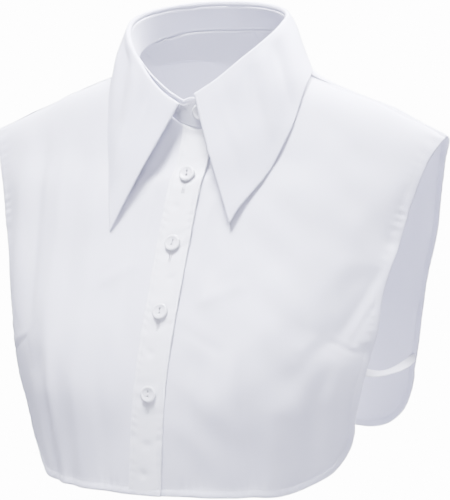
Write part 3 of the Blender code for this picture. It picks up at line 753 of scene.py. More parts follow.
def add_folds(points, rows):
    """Moves points out along soft ridges, each a bell across its line that dies out past its ends."""
    normal = outward_normals(points)
    rise = np.zeros(points.shape[:2])
    for row in rows:
        fold = dict(zip(FOLD_COLUMNS, row))
        start = np.array([fold["x0"], fold["z0"]])
        line = np.array([fold["x1"], fold["z1"]]) - start
        length = np.linalg.norm(line)
        place = points[..., (0, 2)] - start
        along = place @ line / length ** 2
        off = place @ np.array([line[1], -line[0]]) / length
        upper_end = smooth_step((along + FOLD_REACH_UP) / FOLD_FADE)
        ends = upper_end * smooth_step((1 + FOLD_REACH_DOWN - along) / FOLD_FADE)
        rise = rise + fold["out"] * np.exp(-(off / fold["half_width"]) ** 2) * ends
    return points + normal * rise[..., None]


def middle_x(height):
    """x of the closure's middle line at a height."""
    return table_value(MIDDLE_ROWS, 1, height)


def front_points(u, v, mirror):
    """One front. The right front is lifted one layer where it crosses the middle."""

    def inner_x(height):
        return mirror * middle_x(height) - STAND_WIDTH

    points = half_panel(u, v, 1, mirror, -STAND_END, inner_x, FRONT_HEM_Z, FRONT_HEM_LIFT, FRONT_CORNER)
    points = add_folds(points, FRONT_FOLDS)
    if mirror < 0:
        off_middle = -(points[..., 0] - middle_x(points[..., 2]))
        lift = LAYER * (1 - smooth_step((off_middle - LAP_WIDTH) / LAP_FADE))
        lift = lift - LAP_DROP * (1 - smooth_step((off_middle + STAND_WIDTH) / LAP_BEND))
        points = points + outward_normals(points) * lift[..., None]
    return points


def roll_edge(points):
    """Rolls the armhole side of a front back: the move grows with the square of nearness to its edge."""
    side = points[-1:, :, :]
    away = np.linalg.norm(points - side, axis=-1)
    near = np.clip(1 - away / ROLL_REACH, 0, 1) ** 2
    down = smooth_step((points[-1, :, 2] * -1 - ROLL_FROM) / ROLL_FADE)
    return points - outward_normals(points) * (ROLL_DEPTH * near * down[None])[..., None]


def half_back(u, v, mirror):
    """Half of the back, its inner edge straight down the middle."""

    def centre_back(height):
        return 0.0 * height

    return half_panel(u, v, -1, mirror, 180.0, centre_back, BACK_HEM_Z, 0.0, BACK_CORNER)


def back_points(u, v):
    """The whole back: a half from the centre to each side, joined in the middle."""
    return add_folds(np.concatenate([half_back(u, v, -1)[::-1], half_back(u, v, 1)[1:]]), BACK_FOLDS)


def placket_points(u_count, v, lift):
    """The button band: the right front's own points between two lines, moved out by lift."""
    panel = front_points(np.linspace(0, PLACKET_REACH, PLACKET_SAMPLES), v, -1)
    out = outward_normals(panel)
    out[0, -1] = out[0, -2]
    band = np.zeros((u_count + 1, len(v), 3))
    wanted = np.linspace(0.5, -0.5, u_count + 1) * PLACKET_WIDTH
    for row in range(len(v)):
        from_middle = panel[:, row, 0] - middle_x(panel[:, row, 2])
        order = np.argsort(from_middle)
        lifted = panel[order, row] + out[order, row] * lift
        band[:, row] = np.stack([np.interp(wanted, from_middle[order], lifted[:, k]) for k in range(3)], -1)
    return band


def stand_points(angle, share):
    """Collar band between the neck seam and the fold. Its right end laps over its left end."""
    bottom = neck_point(angle)
    out = ring_outward(angle)
    top = fold_point(angle) - out * FOLD_RADIUS
    peek = smooth_step((angle - PEEK_START) / PEEK_TURN)[:, None]
    top = top - peek * (out * PEEK_INWARD - np.array([0.0, 0.0, PEEK_RISE]))
    top[:, 2] -= STAND_TOP_DROP
    to_end = np.minimum(angle + STAND_END, 360.0 + STAND_END - angle)
    short_of = 1 - np.clip(to_end / STAND_END_ROUND, 0, 1)
    top[:, 2] -= STAND_END_DROP * (1 - np.sqrt(1 - short_of ** 2))
    points = bottom[:, None] * (1 - share[None, :, None]) + top[:, None] * share[None, :, None]
    lapped = LAYER * smooth_step((angle - STAND_LAP_START) / STAND_LAP_TURN)
    return points + out[:, None] * lapped[:, None, None]


def edge_point(angle):
    """Outer edge of the leaf, lying just over the worn form."""
    turned = ring_angle(angle)
    side = np.sign(180.0 - np.asarray(angle) % 360.0)
    x, w, lean, lift = (table_value(EDGE_ROWS, column, turned) for column in range(1, 5))
    near_tip = 1 - smooth_step(turned / TIP_REACH)
    x = x + side * lean - LEFT_TIP_IN * near_tip * (side > 0)
    w = w + near_tip * np.where(side > 0, LEFT_TIP_DOWN, RIGHT_TIP_DOWN)
    points = body_surface(x, w)
    nudge = 0.02
    normal = unit(np.cross(body_surface(x, w + nudge) - points, body_surface(x + nudge, w) - points))
    normal = normal * np.sign(normal[..., 2:3] + 1e-9)
    points = points + normal * lift[..., None]
    points[..., 0] *= side
    return points


def leaf_points(angle, share):
    """Collar leaf: up from the stand, a half circle over the fold, then a soft curve to its outer edge."""
    fold = fold_point(angle)
    out = ring_outward(angle)
    up = np.array([0.0, 0.0, 1.0])
    centre = fold - up * FOLD_RADIUS
    columns = [fold - out * (FOLD_RADIUS - FOLD_TUCK) - up * (STAND_TOP_DROP + 0.05)]
    for turn in np.radians(np.linspace(180.0, FOLD_TURN_END, FOLD_STEPS)):
        columns.append(centre + (out * math.cos(turn) + up * math.sin(turn)) * FOLD_RADIUS)
    turn_out = columns[-1]
    half = np.where(angle < 180.0, 180.0 - LEAF_START, LEAF_END - 180.0)
    edge = edge_point(180.0 + (angle - 180.0) * EDGE_LAST / half)
    spread = edge - turn_out
    leave = turn_out + spread * LEAF_EASE + out * LEAF_ROLL
    arrive = edge - spread * LEAF_EASE + out * LEAF_ROLL * LEAF_ARRIVE
    for t in share[1:]:
        start = turn_out * (1 - t) ** 3 + leave * 3 * t * (1 - t) ** 2
        columns.append(start + arrive * 3 * t * t * (1 - t) + edge * t ** 3)
    return np.stack(columns, axis=1)


def settle_leaf(points, angle):
    """Bends the outer part of the leaf down, so that its edge lies close to the cloth below it.

    The corner at the throat drops a little further, and the middle of each point stands out softly.
    """
    out = ring_outward(angle)
    turned = ring_angle(angle)
    down = out * np.array([-LEAF_BEND_INWARD, -LEAF_BEND_INWARD, 0.0]) - np.array([0.0, 0.0, 1.0])
    rest = LEAF_REST + TIP_REST * (1 - smooth_step(turned / TIP_REST_REACH))
    amount = np.maximum(table_value(EDGE_ROWS, 4, turned) - rest, 0.0)
    to_edge = np.linalg.norm(points - points[:, -1:], axis=-1)
    from_fold = to_edge[:, FOLD_STEPS:FOLD_STEPS + 1]
    bend = (1 - smooth_step(to_edge / LEAF_BEND))[..., None]
    points = points + unit(down)[:, None] * amount[:, None, None] * bend
    drop = CORNER_DROP * smooth_step((angle - CORNER_START) / CORNER_TURN)[:, None]
    points[..., 2] -= drop * smooth_step(to_edge / from_fold)
    lift = CORNER_LIFT * (1 - smooth_step(turned / CORNER_LIFT_REACH))[:, None]
    half_way = np.sin(np.pi * np.clip(to_edge / from_fold, 0, 1)) ** 2
    return points + out[:, None] * (lift * half_way)[..., None]


def strap_points(mirror, steps, across_steps, width):
    """One side strap: held inside both side edges, hanging slack between them as a parabola."""
    rows = np.linspace(0, 1, STRAP_SAMPLES)
    near_edge = np.array(STRAP_NEAR_EDGE)
    ends = []
    for panel in (roll_edge(front_points(near_edge, rows, mirror)), half_back(near_edge, rows, mirror)):
        at = np.argmin(np.abs(panel[-1, :, 2] - STRAP_HEIGHT))
        edge = panel[-1, at]
        inward = unit(panel[0, at] - edge)
        normal = unit(np.cross(inward, panel[-1, at + 1] - edge))
        normal = normal * -np.sign(normal[0] * mirror)
        held = edge + normal * LAYER
        ends.append((held + inward * STRAP_HOLD, held))
    t = np.linspace(0, 1, steps + 1)[:, None]
    between = ends[0][1] * (1 - t) + ends[1][1] * t
    between[:, 2] -= STRAP_SAG * 4 * (t * (1 - t))[:, 0]
    path = np.concatenate([ends[0][0][None], between, ends[1][0][None]])
    turn = STRAP_TURN * np.sin(np.pi * np.concatenate([[0.0], t[:, 0], [0.0]]))
    across = np.stack([-mirror * np.sin(turn), 0 * turn, np.cos(turn)], axis=-1)
    share = np.linspace(-0.5, 0.5, across_steps + 1)
    return path[:, None] + across[:, None] * share[None, :, None] * width


def edge_shares(count, length_across):
    """Shares from 0 to 1 with small even steps near the far end."""
    near = int(EDGE_BAND / EDGE_STEP)
    tail = 1 - np.arange(near, -1, -1) * EDGE_STEP / length_across
    return np.concatenate([np.linspace(0.0, tail[0], count - near + 1), tail[1:]])


def panel_columns(count):
    """Column shares of half a panel: one exactly at the shoulder end of the neck, fine at the side edge."""
    first = int(count * NECK_SHARE)
    outer = edge_shares(count - first, PANEL_WIDTH * (1 - NECK_SHARE))
    return np.concatenate([np.linspace(0, NECK_SHARE, first + 1), NECK_SHARE + (1 - NECK_SHARE) * outer[1:]])


def panel_rows(count):
    """Row shares of a panel, fine along the hem."""
    return edge_shares(count, PANEL_LENGTH) ** ROW_SPACING


def line_length(line):
    """Length along a line of points, from its start to each point."""
    return np.concatenate([[0.0], np.cumsum(np.linalg.norm(np.diff(line, axis=0), axis=1))])


def even_line(line, step):
    """The same line, sampled at even steps of its length."""
    place = line_length(line)
    count = max(int(place[-1] / step), 2)
    wanted = np.linspace(0, place[-1], count + 1)
    return np.stack([np.interp(wanted, place, line[:, k]) for k in range(line.shape[1])], axis=-1)


def nearest(points, line):
    """For each point, the index of the nearest sample of a line and the distance to it."""
    flat = points.reshape(-1, 3)
    index = np.zeros(len(flat), dtype=int)
    squares = (line ** 2).sum(axis=1)
    block = 3000
    for start in range(0, len(flat), block):
        part = flat[start:start + block]
        index[start:start + block] = (squares[None] - 2 * part @ line.T).argmin(axis=1)
    distance = np.linalg.norm(flat - line[index], axis=1)
    return index.reshape(points.shape[:-1]), distance.reshape(points.shape[:-1])


def pucker(place, distance, centre, reach, height):
    """Small uneven waves along a sewn line: sines of the length along it, in a bell across it."""
    wave = np.sin(8.3 * place + 1.9 * np.sin(1.7 * place + 0.6)) + 0.5 * np.sin(3.1 * place + 2.0)
    swell = 0.65 + 0.35 * np.sin(0.83 * place + 1.3)
    return height * wave * swell * np.exp(-((distance - centre) / reach) ** 2)


def unevenness(points, height, seed):
    """Slow lumps and hollows of worn cloth: a sum of sines in slanting directions, their phases from seed."""
    pick = np.random.default_rng(seed)
    total = np.zeros(points.shape[:-1])
    for wave_length in UNEVEN_LENGTHS:
        for _ in range(3):
            way = unit(pick.normal(size=3) * np.array([1.0, 0.6, 0.55]))
            phase = pick.uniform(0, 2 * math.pi)
            total = total + wave_length ** 1.2 * np.sin(points @ way * 2 * math.pi / wave_length + phase)
    return total * height / 20.0


def make_object(name, points, faces, material, uv=None):
    """A mesh object at the origin. Points are in centimetres, uv in metres."""
    mesh = bpy.data.meshes.new(name)
    mesh.from_pydata((points * CM).tolist(), [], faces.tolist())
    mesh.materials.append(material)
    mesh.shade_smooth()
    if uv is not None:
        corner = np.zeros(len(mesh.loops), dtype=np.int32)
        mesh.loops.foreach_get("vertex_index", corner)
        layer = mesh.uv_layers.new(name="cloth")
        layer.uv.foreach_set("vector", uv[corner].astype(np.float32).ravel())
    item = bpy.data.objects.new(name, mesh)
    bpy.context.scene.collection.objects.link(item)
    return item


def grid_faces(columns, rows, start=0):
    """Faces between the points of a grid."""
    index = start + np.arange(columns * rows).reshape(columns, rows)
    corners = [index[:-1, :-1], index[1:, :-1], index[1:, 1:], index[:-1, 1:]]
    return np.stack(corners, axis=-1).reshape(-1, 4)


def tube_faces(rings, sides):
    """Faces between rings of points, each ring closed on itself."""
    base = np.arange(rings * sides).reshape(rings, sides)
    after = np.roll(base, -1, axis=1)
    return np.stack([base[:-1], after[:-1], after[1:], base[1:]], axis=-1).reshape(-1, 4)


def turned_faces(rings, sides):
    """The faces of a tube the other way round, each starting at the same corner."""
    return np.roll(tube_faces(rings, sides)[:, ::-1], 1, axis=1)


def cloth_shell(name, points, outer, inner, material):
    """Two skins of one sheet, points plus normal times outer and points less normal times inner.

    They are joined round the rim, where both are drawn in so that the edge is round.
    """
    columns, rows = points.shape[:2]
    normal = outward_normals(points)
    draw = np.ones((columns, rows))
    draw[0] = draw[-1] = RIM_DRAW
    draw[:, 0] = draw[:, -1] = RIM_DRAW
    skin = points + normal * (outer * draw)[..., None]
    lining = points - normal * (inner * draw)[..., None]
    count = columns * rows
    front = grid_faces(columns, rows)
    back = grid_faces(columns, rows, count)
    index = np.arange(count).reshape(columns, rows)
    ring = np.concatenate([index[:, 0], index[-1, 1:], index[-2::-1, -1], index[0, -2:0:-1]])
    after = np.roll(ring, -1)
    rim = np.stack([after, ring, ring + count, after + count], axis=-1)
    if grid_facing(points) > 0:
        faces = np.concatenate([front, back[:, ::-1], rim])
    else:
        faces = np.concatenate([front[:, ::-1], back, rim[:, ::-1]])
    along = np.cumsum(np.linalg.norm(np.diff(points, axis=0, prepend=points[:1]), axis=-1), axis=0)
    down = np.cumsum(np.linalg.norm(np.diff(points, axis=1, prepend=points[:, :1]), axis=-1), axis=1)
    uv = np.stack([along, down], axis=-1).reshape(-1, 2) * CM
    uv = np.concatenate([uv, uv + np.array([0.5, 0.0])])
    both = np.concatenate([skin.reshape(-1, 3), lining.reshape(-1, 3)])
    return make_object(name, both, faces, material, uv), skin, lining, normal


def inset_line(skin, normal, line, inset, trim_start, trim_end):
    """A line on the skin at an even distance from an edge, with the skin's normals along it."""
    line = even_line(line, 0.05)
    place = line_length(line)
    keep = (place >= trim_start) & (place <= place[-1] - trim_end)
    flat = skin.reshape(-1, 3)
    flat_normal = normal.reshape(-1, 3)
    at, _ = nearest(line, flat)
    tangent = unit(np.gradient(line, axis=0))
    across = unit(np.cross(flat_normal[at], tangent))
    middle = flat[:: max(len(flat) // 4000, 1)].mean(axis=0)
    if np.sum(across * (middle - line), axis=-1).mean() < 0:
        across = -across
    wanted = (line + across * inset)[keep]
    return on_skin(skin, normal, wanted)


def on_skin(skin, normal, wanted):
    """Points dropped on to a skin: each goes to the plane of the nearest grid point."""
    flat = skin.reshape(-1, 3)
    flat_normal = normal.reshape(-1, 3)
    at, _ = nearest(wanted, flat)
    off = np.sum((wanted - flat[at]) * flat_normal[at], axis=-1, keepdims=True)
    return wanted - off * flat_normal[at], flat_normal[at]


def stitch_run(line, normal, pitch, radius):
    """Separate stitches along a line: each a short rounded bar, its ends dipping into the cloth."""
    both = even_line(np.concatenate([line, normal], axis=1), pitch)
    centre = (both[1:, :3] + both[:-1, :3]) / 2
    length_each = np.linalg.norm(both[1:, :3] - both[:-1, :3], axis=1)
    tangent = unit(both[1:, :3] - both[:-1, :3])
    up = unit(both[1:, 3:] + both[:-1, 3:])
    side = np.cross(tangent, up)
    stations = np.array([-0.43, -0.33, 0.0, 0.33, 0.43])
    swell = np.array([0.25, 0.85, 1.0, 0.85, 0.25])
    height = np.array([-1.5, -0.2, 0.25, -0.2, -1.5]) * radius
    flatness = 0.8
    turn = np.radians(np.arange(0, 360, 60))
    along = stations[None, :, None] * length_each[:, None, None]
    wide = (swell[:, None] * np.cos(turn)[None, :] * radius)[None]
    high = (swell[:, None] * np.sin(turn)[None, :] * radius * flatness + height[:, None])[None]
    points = (
        centre[:, None, None]
        + tangent[:, None, None] * along[..., None]
        + side[:, None, None] * wide[..., None]
        + up[:, None, None] * high[..., None]
    )
    each = len(stations) * len(turn)
    faces = tube_faces(len(stations), len(turn))[None] + (np.arange(len(centre)) * each)[:, None, None]
    return points.reshape(-1, 3), faces.reshape(-1, 4)


def bar_run(path, up, radius):
    """A continuous thread along a path: rings of six points round it."""
    tangent = unit(np.gradient(path, axis=0))
    side = unit(np.cross(tangent, up))
    turn = np.radians(np.arange(0, 360, 60))
    points = (
        path[:, None]
        + side[:, None] * (np.cos(turn) * radius)[None, :, None]
        + up[:, None] * ((np.sin(turn) + 0.4) * radius)[None, :, None]
    )
    caps = np.array([[0, 5, 4, 3], [0, 3, 2, 1]])
    ends = np.concatenate([caps[:, ::-1], caps + (len(path) - 1) * len(turn)])
    return points.reshape(-1, 3), np.concatenate([tube_faces(len(path), len(turn)), ends])[:, ::-1]


def sewn_edge(skin, normal, edge, inset, trim_start, trim_end, closeness=1.0):
    """A row of stitches on the skin, at an even distance from an edge."""
    sizes = bpy.context.scene.half_shirt_sizes
    path, up = inset_line(skin, normal, edge, inset, trim_start, trim_end)
    return stitch_run(path, up, sizes.stitch / CM * closeness, sizes.thread / CM / 2)


def join_runs(runs):
    """Several runs of points and faces as one."""
    offset = 0
    points, faces = [], []
    for run_points, run_faces in runs:
        points.append(run_points)
        faces.append(run_faces + offset)
        offset += len(run_points)
    return np.concatenate(points), np.concatenate(faces)


def sew(name, runs, material):
    """All the stitches of one piece as one object."""
    points, faces = join_runs(runs)
    item = make_object(name, points, faces, material)
    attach(item, "root")
    return item


def new_group(name, inputs, outputs):
    """An empty shader node group with named sockets."""
    group = bpy.data.node_groups.new(name, "ShaderNodeTree")
    for label, kind, default in inputs:
        socket = group.interface.new_socket(label, in_out="INPUT", socket_type=kind)
        if default is not None:
            socket.default_value = default
    for label, kind in outputs:
        group.interface.new_socket(label, in_out="OUTPUT", socket_type=kind)
    return group, group.nodes.new("NodeGroupInput"), group.nodes.new("NodeGroupOutput")


def math_node(tree, operation, first, second=None):
    """One step of arithmetic on sockets or numbers."""
    node = tree.nodes.new("ShaderNodeMath")
    node.operation = operation
    for slot_number, value in enumerate((first, second)):
        if isinstance(value, (int, float)):
            node.inputs[slot_number].default_value = value
        elif value is not None:
            tree.links.new(value, node.inputs[slot_number])
    return node.outputs[0]


def noise_node(tree, vector, detail):
    """A noise read at a vector."""
    noise = tree.nodes.new("ShaderNodeTexNoise")
    noise.inputs["Detail"].default_value = detail
    tree.links.new(vector, noise.inputs["Vector"])
    return noise


def weave_group():
    """Plain weave: threads pass over and under in turn, so the height is the product of two sines."""
    if "Plain weave" in bpy.data.node_groups:
        return bpy.data.node_groups["Plain weave"]
    group, start, end = new_group(
        "Plain weave",
        (("Vector", "NodeSocketVector", None), ("Threads", "NodeSocketFloat", 2800.0)),
        (("Height", "NodeSocketFloat"), ("Slub", "NodeSocketFloat")),
    )
    split = group.nodes.new("ShaderNodeSeparateXYZ")
    group.links.new(start.outputs["Vector"], split.inputs[0])
    waves = []
    for axis in ("X", "Y"):
        scaled = math_node(group, "MULTIPLY", split.outputs[axis], start.outputs["Threads"])
        waves.append(math_node(group, "SINE", math_node(group, "MULTIPLY", scaled, math.pi)))
    product = math_node(group, "MULTIPLY", waves[0], waves[1])
    weave = math_node(group, "ADD", math_node(group, "MULTIPLY", product, 0.5), 0.5)
    slubs = []
    for stretch in ((900.0, 60.0, 1.0), (60.0, 900.0, 1.0)):
        place = group.nodes.new("ShaderNodeMapping")
        place.inputs["Scale"].default_value = stretch
        group.links.new(start.outputs["Vector"], place.inputs["Vector"])
        noise = noise_node(group, place.outputs["Vector"], 2.0)
        noise.inputs["Scale"].default_value = 1.0
        slubs.append(noise.outputs["Fac"])
    slub = math_node(group, "MULTIPLY", math_node(group, "ADD", slubs[0], slubs[1]), 0.5)
    woven = math_node(group, "MULTIPLY", weave, 0.6)
    height = math_node(group, "ADD", woven, math_node(group, "MULTIPLY", slub, 0.8))
    group.links.new(slub, end.inputs["Slub"])
    group.links.new(height, end.inputs["Height"])
    return group


def clouding_group():
    """Slow, faint change of tone over a piece: the mean of two noises of different size."""
    if "Cloth clouding" in bpy.data.node_groups:
        return bpy.data.node_groups["Cloth clouding"]
    sizes = (("Large", "NodeSocketFloat", 14.0), ("Small", "NodeSocketFloat", 90.0))
    group, start, end = new_group(
        "Cloth clouding", (("Vector", "NodeSocketVector", None), *sizes), (("Tone", "NodeSocketFloat"),),
    )
    parts = []
    for label in ("Large", "Small"):
        noise = noise_node(group, start.outputs["Vector"], 3.0)
        group.links.new(start.outputs[label], noise.inputs["Scale"])
        parts.append(noise.outputs["Fac"])
    tone = math_node(group, "MULTIPLY", math_node(group, "ADD", parts[0], parts[1]), 0.5)
    group.links.new(tone, end.inputs["Tone"])
    return group


def shaded(tint, share):
    """A colour made lighter or darker, with full alpha."""
    return (tint[0] * share, tint[1] * share, tint[2] * share, 1.0)


def material_once(name, fill, *values):
    """The material of that name. On its first use, fill gets its tree, its shader and the values."""
    if name not in bpy.data.materials:
        material = bpy.data.materials.new(name)
        material.use_nodes = True
        fill(material.node_tree, material.node_tree.nodes["Principled BSDF"], *values)
    return bpy.data.materials[name]


def set_inputs(node, values):
    """Sets a node's own sockets by their names."""
    for label, value in values.items():
        node.inputs[label].default_value = value


def placed_group(tree, group, vector, values):
    """A node group placed in a material, with its vector and its own values."""
    node = tree.nodes.new("ShaderNodeGroup")
    node.node_tree = group
    set_inputs(node, values)
    tree.links.new(vector, node.inputs["Vector"])
    return node


def link_colour(tree, factor, tint, low, high, socket):
    """The tint times low where the factor is 0, times high where it is 1, led into a socket."""
    mix = tree.nodes.new("ShaderNodeMix")
    mix.data_type = "RGBA"
    set_inputs(mix, {"A": shaded(tint, low), "B": shaded(tint, high)})
    tree.links.new(factor, mix.inputs["Factor"])
    tree.links.new(mix.outputs["Result"], socket)


def link_range(tree, factor, low, high, socket):
    """A value from low to high as the factor goes from 0 to 1, led into a socket."""
    scale = tree.nodes.new("ShaderNodeMapRange")
    set_inputs(scale, {"To Min": low, "To Max": high})
    tree.links.new(factor, scale.inputs["Value"])
    tree.links.new(scale.outputs["Result"], socket)


def link_relief(tree, height, strength, distance, shader):
    """A height as bump, led into the shader's normal."""
    relief = tree.nodes.new("ShaderNodeBump")
    set_inputs(relief, {"Strength": strength, "Distance": distance})
    tree.links.new(height, relief.inputs["Height"])
    tree.links.new(relief.outputs["Normal"], shader.inputs["Normal"])


def fill_cotton(tree, shader, tint, threads, bump, roughness):
    """White cotton: woven threads and slubs in the bump, faint clouding in the colour."""
    set_inputs(shader, {
        "Metallic": 0.0, "Sheen Weight": 0.12, "Sheen Roughness": 0.5, "Specular IOR Level": 0.3,
        "Subsurface Weight": 0.45, "Subsurface Radius": (1.0, 1.0, 1.0), "Subsurface Scale": 0.0012,
    })
    place = tree.nodes.new("ShaderNodeUVMap")
    place.uv_map = "cloth"
    space = tree.nodes.new("ShaderNodeTexCoord")
    weave = placed_group(tree, weave_group(), place.outputs["UV"], {"Threads": threads})
    cloud = placed_group(tree, clouding_group(), space.outputs["Object"], {})
    slow = math_node(tree, "MULTIPLY", cloud.outputs["Tone"], 0.6)
    tone = math_node(tree, "ADD", slow, math_node(tree, "MULTIPLY", weave.outputs["Slub"], 0.4))
    link_colour(tree, tone, tint, 0.965, 1.03, shader.inputs["Base Color"])
    link_range(tree, tone, roughness - 0.06, roughness + 0.06, shader.inputs["Roughness"])
    link_relief(tree, weave.outputs["Height"], bump, 0.0001, shader)


def fill_thread(tree, shader, tint):
    """Sewing thread: a fine twist in the bump, with painted shade that darkens its colour in the twist's grooves.
    """
    set_inputs(shader, {"Roughness": 0.6, "Sheen Weight": 0.1})
    space = tree.nodes.new("ShaderNodeTexCoord")
    wave = tree.nodes.new("ShaderNodeTexWave")
    wave.inputs["Scale"].default_value = 900.0
    wave.bands_direction = "DIAGONAL"
    tree.links.new(space.outputs["Object"], wave.inputs["Vector"])
    # painted shade: the colour is darker where the twist's bump is low, in its grooves
    link_colour(tree, wave.outputs["Fac"], tint, 0.94, 1.03, shader.inputs["Base Color"])
    link_relief(tree, wave.outputs["Fac"], 0.4, 0.00005, shader)


def fill_button(tree, shader, tint):
    """Glossy white button, faintly clouded like shell."""
    set_inputs(shader, {"Coat Weight": 0.5, "Coat Roughness": 0.08, "Specular IOR Level": 0.55})
    space = tree.nodes.new("ShaderNodeTexCoord")
    cloud = placed_group(tree, clouding_group(), space.outputs["Object"], {"Large": 220.0, "Small": 900.0})
    link_colour(tree, cloud.outputs["Tone"], tint, 0.93, 1.05, shader.inputs["Base Color"])
    link_range(tree, cloud.outputs["Tone"], 0.18, 0.34, shader.inputs["Roughness"])


def cotton(part):
    """The cotton of one part of the garment, in that part's own colour."""
    name, threads, bump, roughness = COTTONS[part]
    tint = getattr(bpy.context.scene.half_shirt_colours, part)
    threads = threads or 1 / bpy.context.scene.half_shirt_sizes.weave
    return material_once(name, fill_cotton, tint, threads, bump, roughness)


def thread_material():
    """Thread of all the stitches."""
    return material_once("sewing_thread", fill_thread, bpy.context.scene.half_shirt_colours.thread)


def button_material():
    """Gloss of the five buttons."""
    return material_once("button_gloss", fill_button, bpy.context.scene.half_shirt_colours.button)


def hem_offsets(distance, layer, hem):
    """Offsets of the two skins near a hem: the turned layers lie inside, and swell the outside a little."""
    turned = 1 - smooth_step((distance - hem + HEM_RAMP / 2) / HEM_RAMP)
    outer = layer / 2 + HEM_SWELL * turned * smooth_step((distance + 0.05) / 0.2)
    inner = layer / 2 + layer * HEM_LAYERS * turned
    return outer, inner


def seam_relief(points, line, at):
    """A sewn-down seam beside a line: a step up as far as the stitches, which lie in a shallow groove."""
    _, distance = nearest(points, even_line(line, LINE_STEP))
    step = SEAM_RISE * (1 - smooth_step((distance - at + 0.02) / SEAM_SOFT))
    return step - SEAM_GROOVE * np.exp(-((distance - at - 0.04) / SEAM_SOFT) ** 2)


def sewn_dip(distance, stitch):
    """Shallow groove where the stitches pull the cloth in."""
    return -SEWN_DIP * np.exp(-((distance - stitch) / SEWN_DIP_WIDTH) ** 2)


def dress_panel(name, points, edge, shoulders, creases, seed, flare=0.0, darts=()):
    """Shell, hem, darts and stitches of one body panel.

    edge and each of shoulders pick their line out of a grid.
    """
    sizes = bpy.context.scene.half_shirt_sizes
    hem = sizes.hem / CM
    stitch = sizes.hem_stitch / CM
    points = add_folds(points, creases)
    points = points + outward_normals(points) * unevenness(points, PANEL_LUMPS, seed)[..., None]
    line = even_line(edge(points), LINE_STEP)
    index, distance = nearest(points, line)
    place = line_length(line)[index]
    rise = pucker(place, distance, stitch, *HEM_PUCKER) + sewn_dip(distance, stitch)
    low = smooth_step((FLARE_START - points[..., 2]) / FLARE_FADE)
    rise = rise + flare * (1 - smooth_step(distance / hem)) * low
    for shoulder in shoulders:
        rise = rise + seam_relief(points, shoulder(points), SHOULDER_SEAM)
    points = points + outward_normals(points) * rise[..., None]
    outer, inner = hem_offsets(distance, sizes.cloth / CM, hem)
    item, skin, lining, normal = cloth_shell(name, points, outer, inner, cotton("cloth"))
    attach(item, "root")
    runs = [
        sewn_edge(face, direction, edge(face), stitch, 0.1, 0.1)
        for face, direction in ((skin, normal), (lining, -normal))
    ]
    for shoulder in shoulders:
        runs.append(sewn_edge(skin, normal, shoulder(skin), SHOULDER_SEAM * 0.6, 0.2, 0.3))
    for x0, z0, x1, z1 in darts:
        share = np.linspace(0, 1, DART_SAMPLES)[:, None]
        path, up = on_skin(skin, normal, dart_line(skin, (x0, z0), (x1, z1), share))
        runs.append(bar_run(path - up * DART_SINK, up, DART_RADIUS))
    thread = sew(name + "_stitches", runs, thread_material())
    return item


def dart_line(skin, start, end, share):
    """Places on the skin closest, in x and height, to points spread evenly from start to end."""
    wanted = np.array(start) * (1 - share) + np.array(end) * share
    flat = skin.reshape(-1, 3)
    gap = (flat[None, :, 0] - wanted[:, :1]) ** 2 + (flat[None, :, 2] - wanted[:, 1:]) ** 2
    close = np.argsort(gap, axis=1)[:, :6]
    weight = 1 / (np.take_along_axis(gap, close, axis=1) + 1e-6)
    weight = weight / weight.sum(axis=1, keepdims=True)
    depth = (flat[close, 1] * weight).sum(axis=1)
    return np.stack([wanted[:, 0], depth, wanted[:, 1]], axis=-1)


class HALFSHIRT_OT_fronts(bpy.types.Operator):
    """Make the two fronts with their darts, hems and folds"""

    bl_idname = "half_shirt.fronts"
    bl_label = "Fronts"

    def execute(self, context):
        u = panel_columns(FRONT_GRID[0])
        v = panel_rows(FRONT_GRID[1])

        def edge(grid):
            return np.concatenate([grid[-1], grid[-2::-1, -1]])

        def shoulder(grid):
            return grid[np.argmax(u >= NECK_SHARE):, 0]

        for name, node, mirror, creases, seed, darts in (
            ("left_front", "front_left", 1, LEFT_CREASES, 11, LEFT_DARTS),
            ("right_front", "front_right", -1, RIGHT_CREASES, 23, RIGHT_DARTS),
        ):
            points = roll_edge(front_points(u, v, mirror))
            item = dress_panel(
                name, points, edge, [shoulder], creases, seed, HEM_FLARE, darts,
            )
            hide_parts(node)
        return {"FINISHED"}


class HALFSHIRT_OT_back(bpy.types.Operator):
    """Make the back with its hem, folds and shoulder stitching"""

    bl_idname = "half_shirt.back"
    bl_label = "Back"

    def execute(self, context):
        u = panel_columns(BACK_GRID[0])
        v = panel_rows(BACK_GRID[1])
        first = np.argmax(u >= NECK_SHARE)

        def edge(grid):
            return np.concatenate([grid[0], grid[1:-1, -1], grid[-1, ::-1]])

        def left_shoulder(grid):
            return grid[len(u) - 1 + first:, 0]

        def right_shoulder(grid):
            return grid[:len(u) - first, 0]

        item = dress_panel(
            "back_panel", back_points(u, v), edge, [left_shoulder, right_shoulder],
            BACK_CREASES, 37,
        )
        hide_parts("back")
        return {"FINISHED"}


def button_pulls(rise, middle, across):
    """Adds to a relief the waves and the hollow at each button, and the band's few dimples.

    middle is the height of each row, across the place of each column from the middle of the band.
    """
    for height in BUTTON_HEIGHTS:
        near = np.exp(-((middle - height + PULL_DROP) / PULL_REACH) ** 2)[None]
        wave = np.sin(middle * PULL_WAVES + across * PULL_SLANT + height)
        rise = rise + PULL_RISE * near * wave * np.exp(-(across / PULL_WIDTH) ** 2)
        hollow = -((middle[None] - height) / HOLLOW_WIDTH) ** 2 - (across / HOLLOW_WIDTH) ** 2
        rise = rise - HOLLOW_DEPTH * np.exp(hollow)
    for height, off in BAND_DIMPLES:
        dimple = -((middle[None] - height) / DIMPLE_HEIGHT) ** 2 - ((across - off) / DIMPLE_WIDTH) ** 2
        rise = rise - DIMPLE_DEPTH * np.exp(dimple)
    return rise


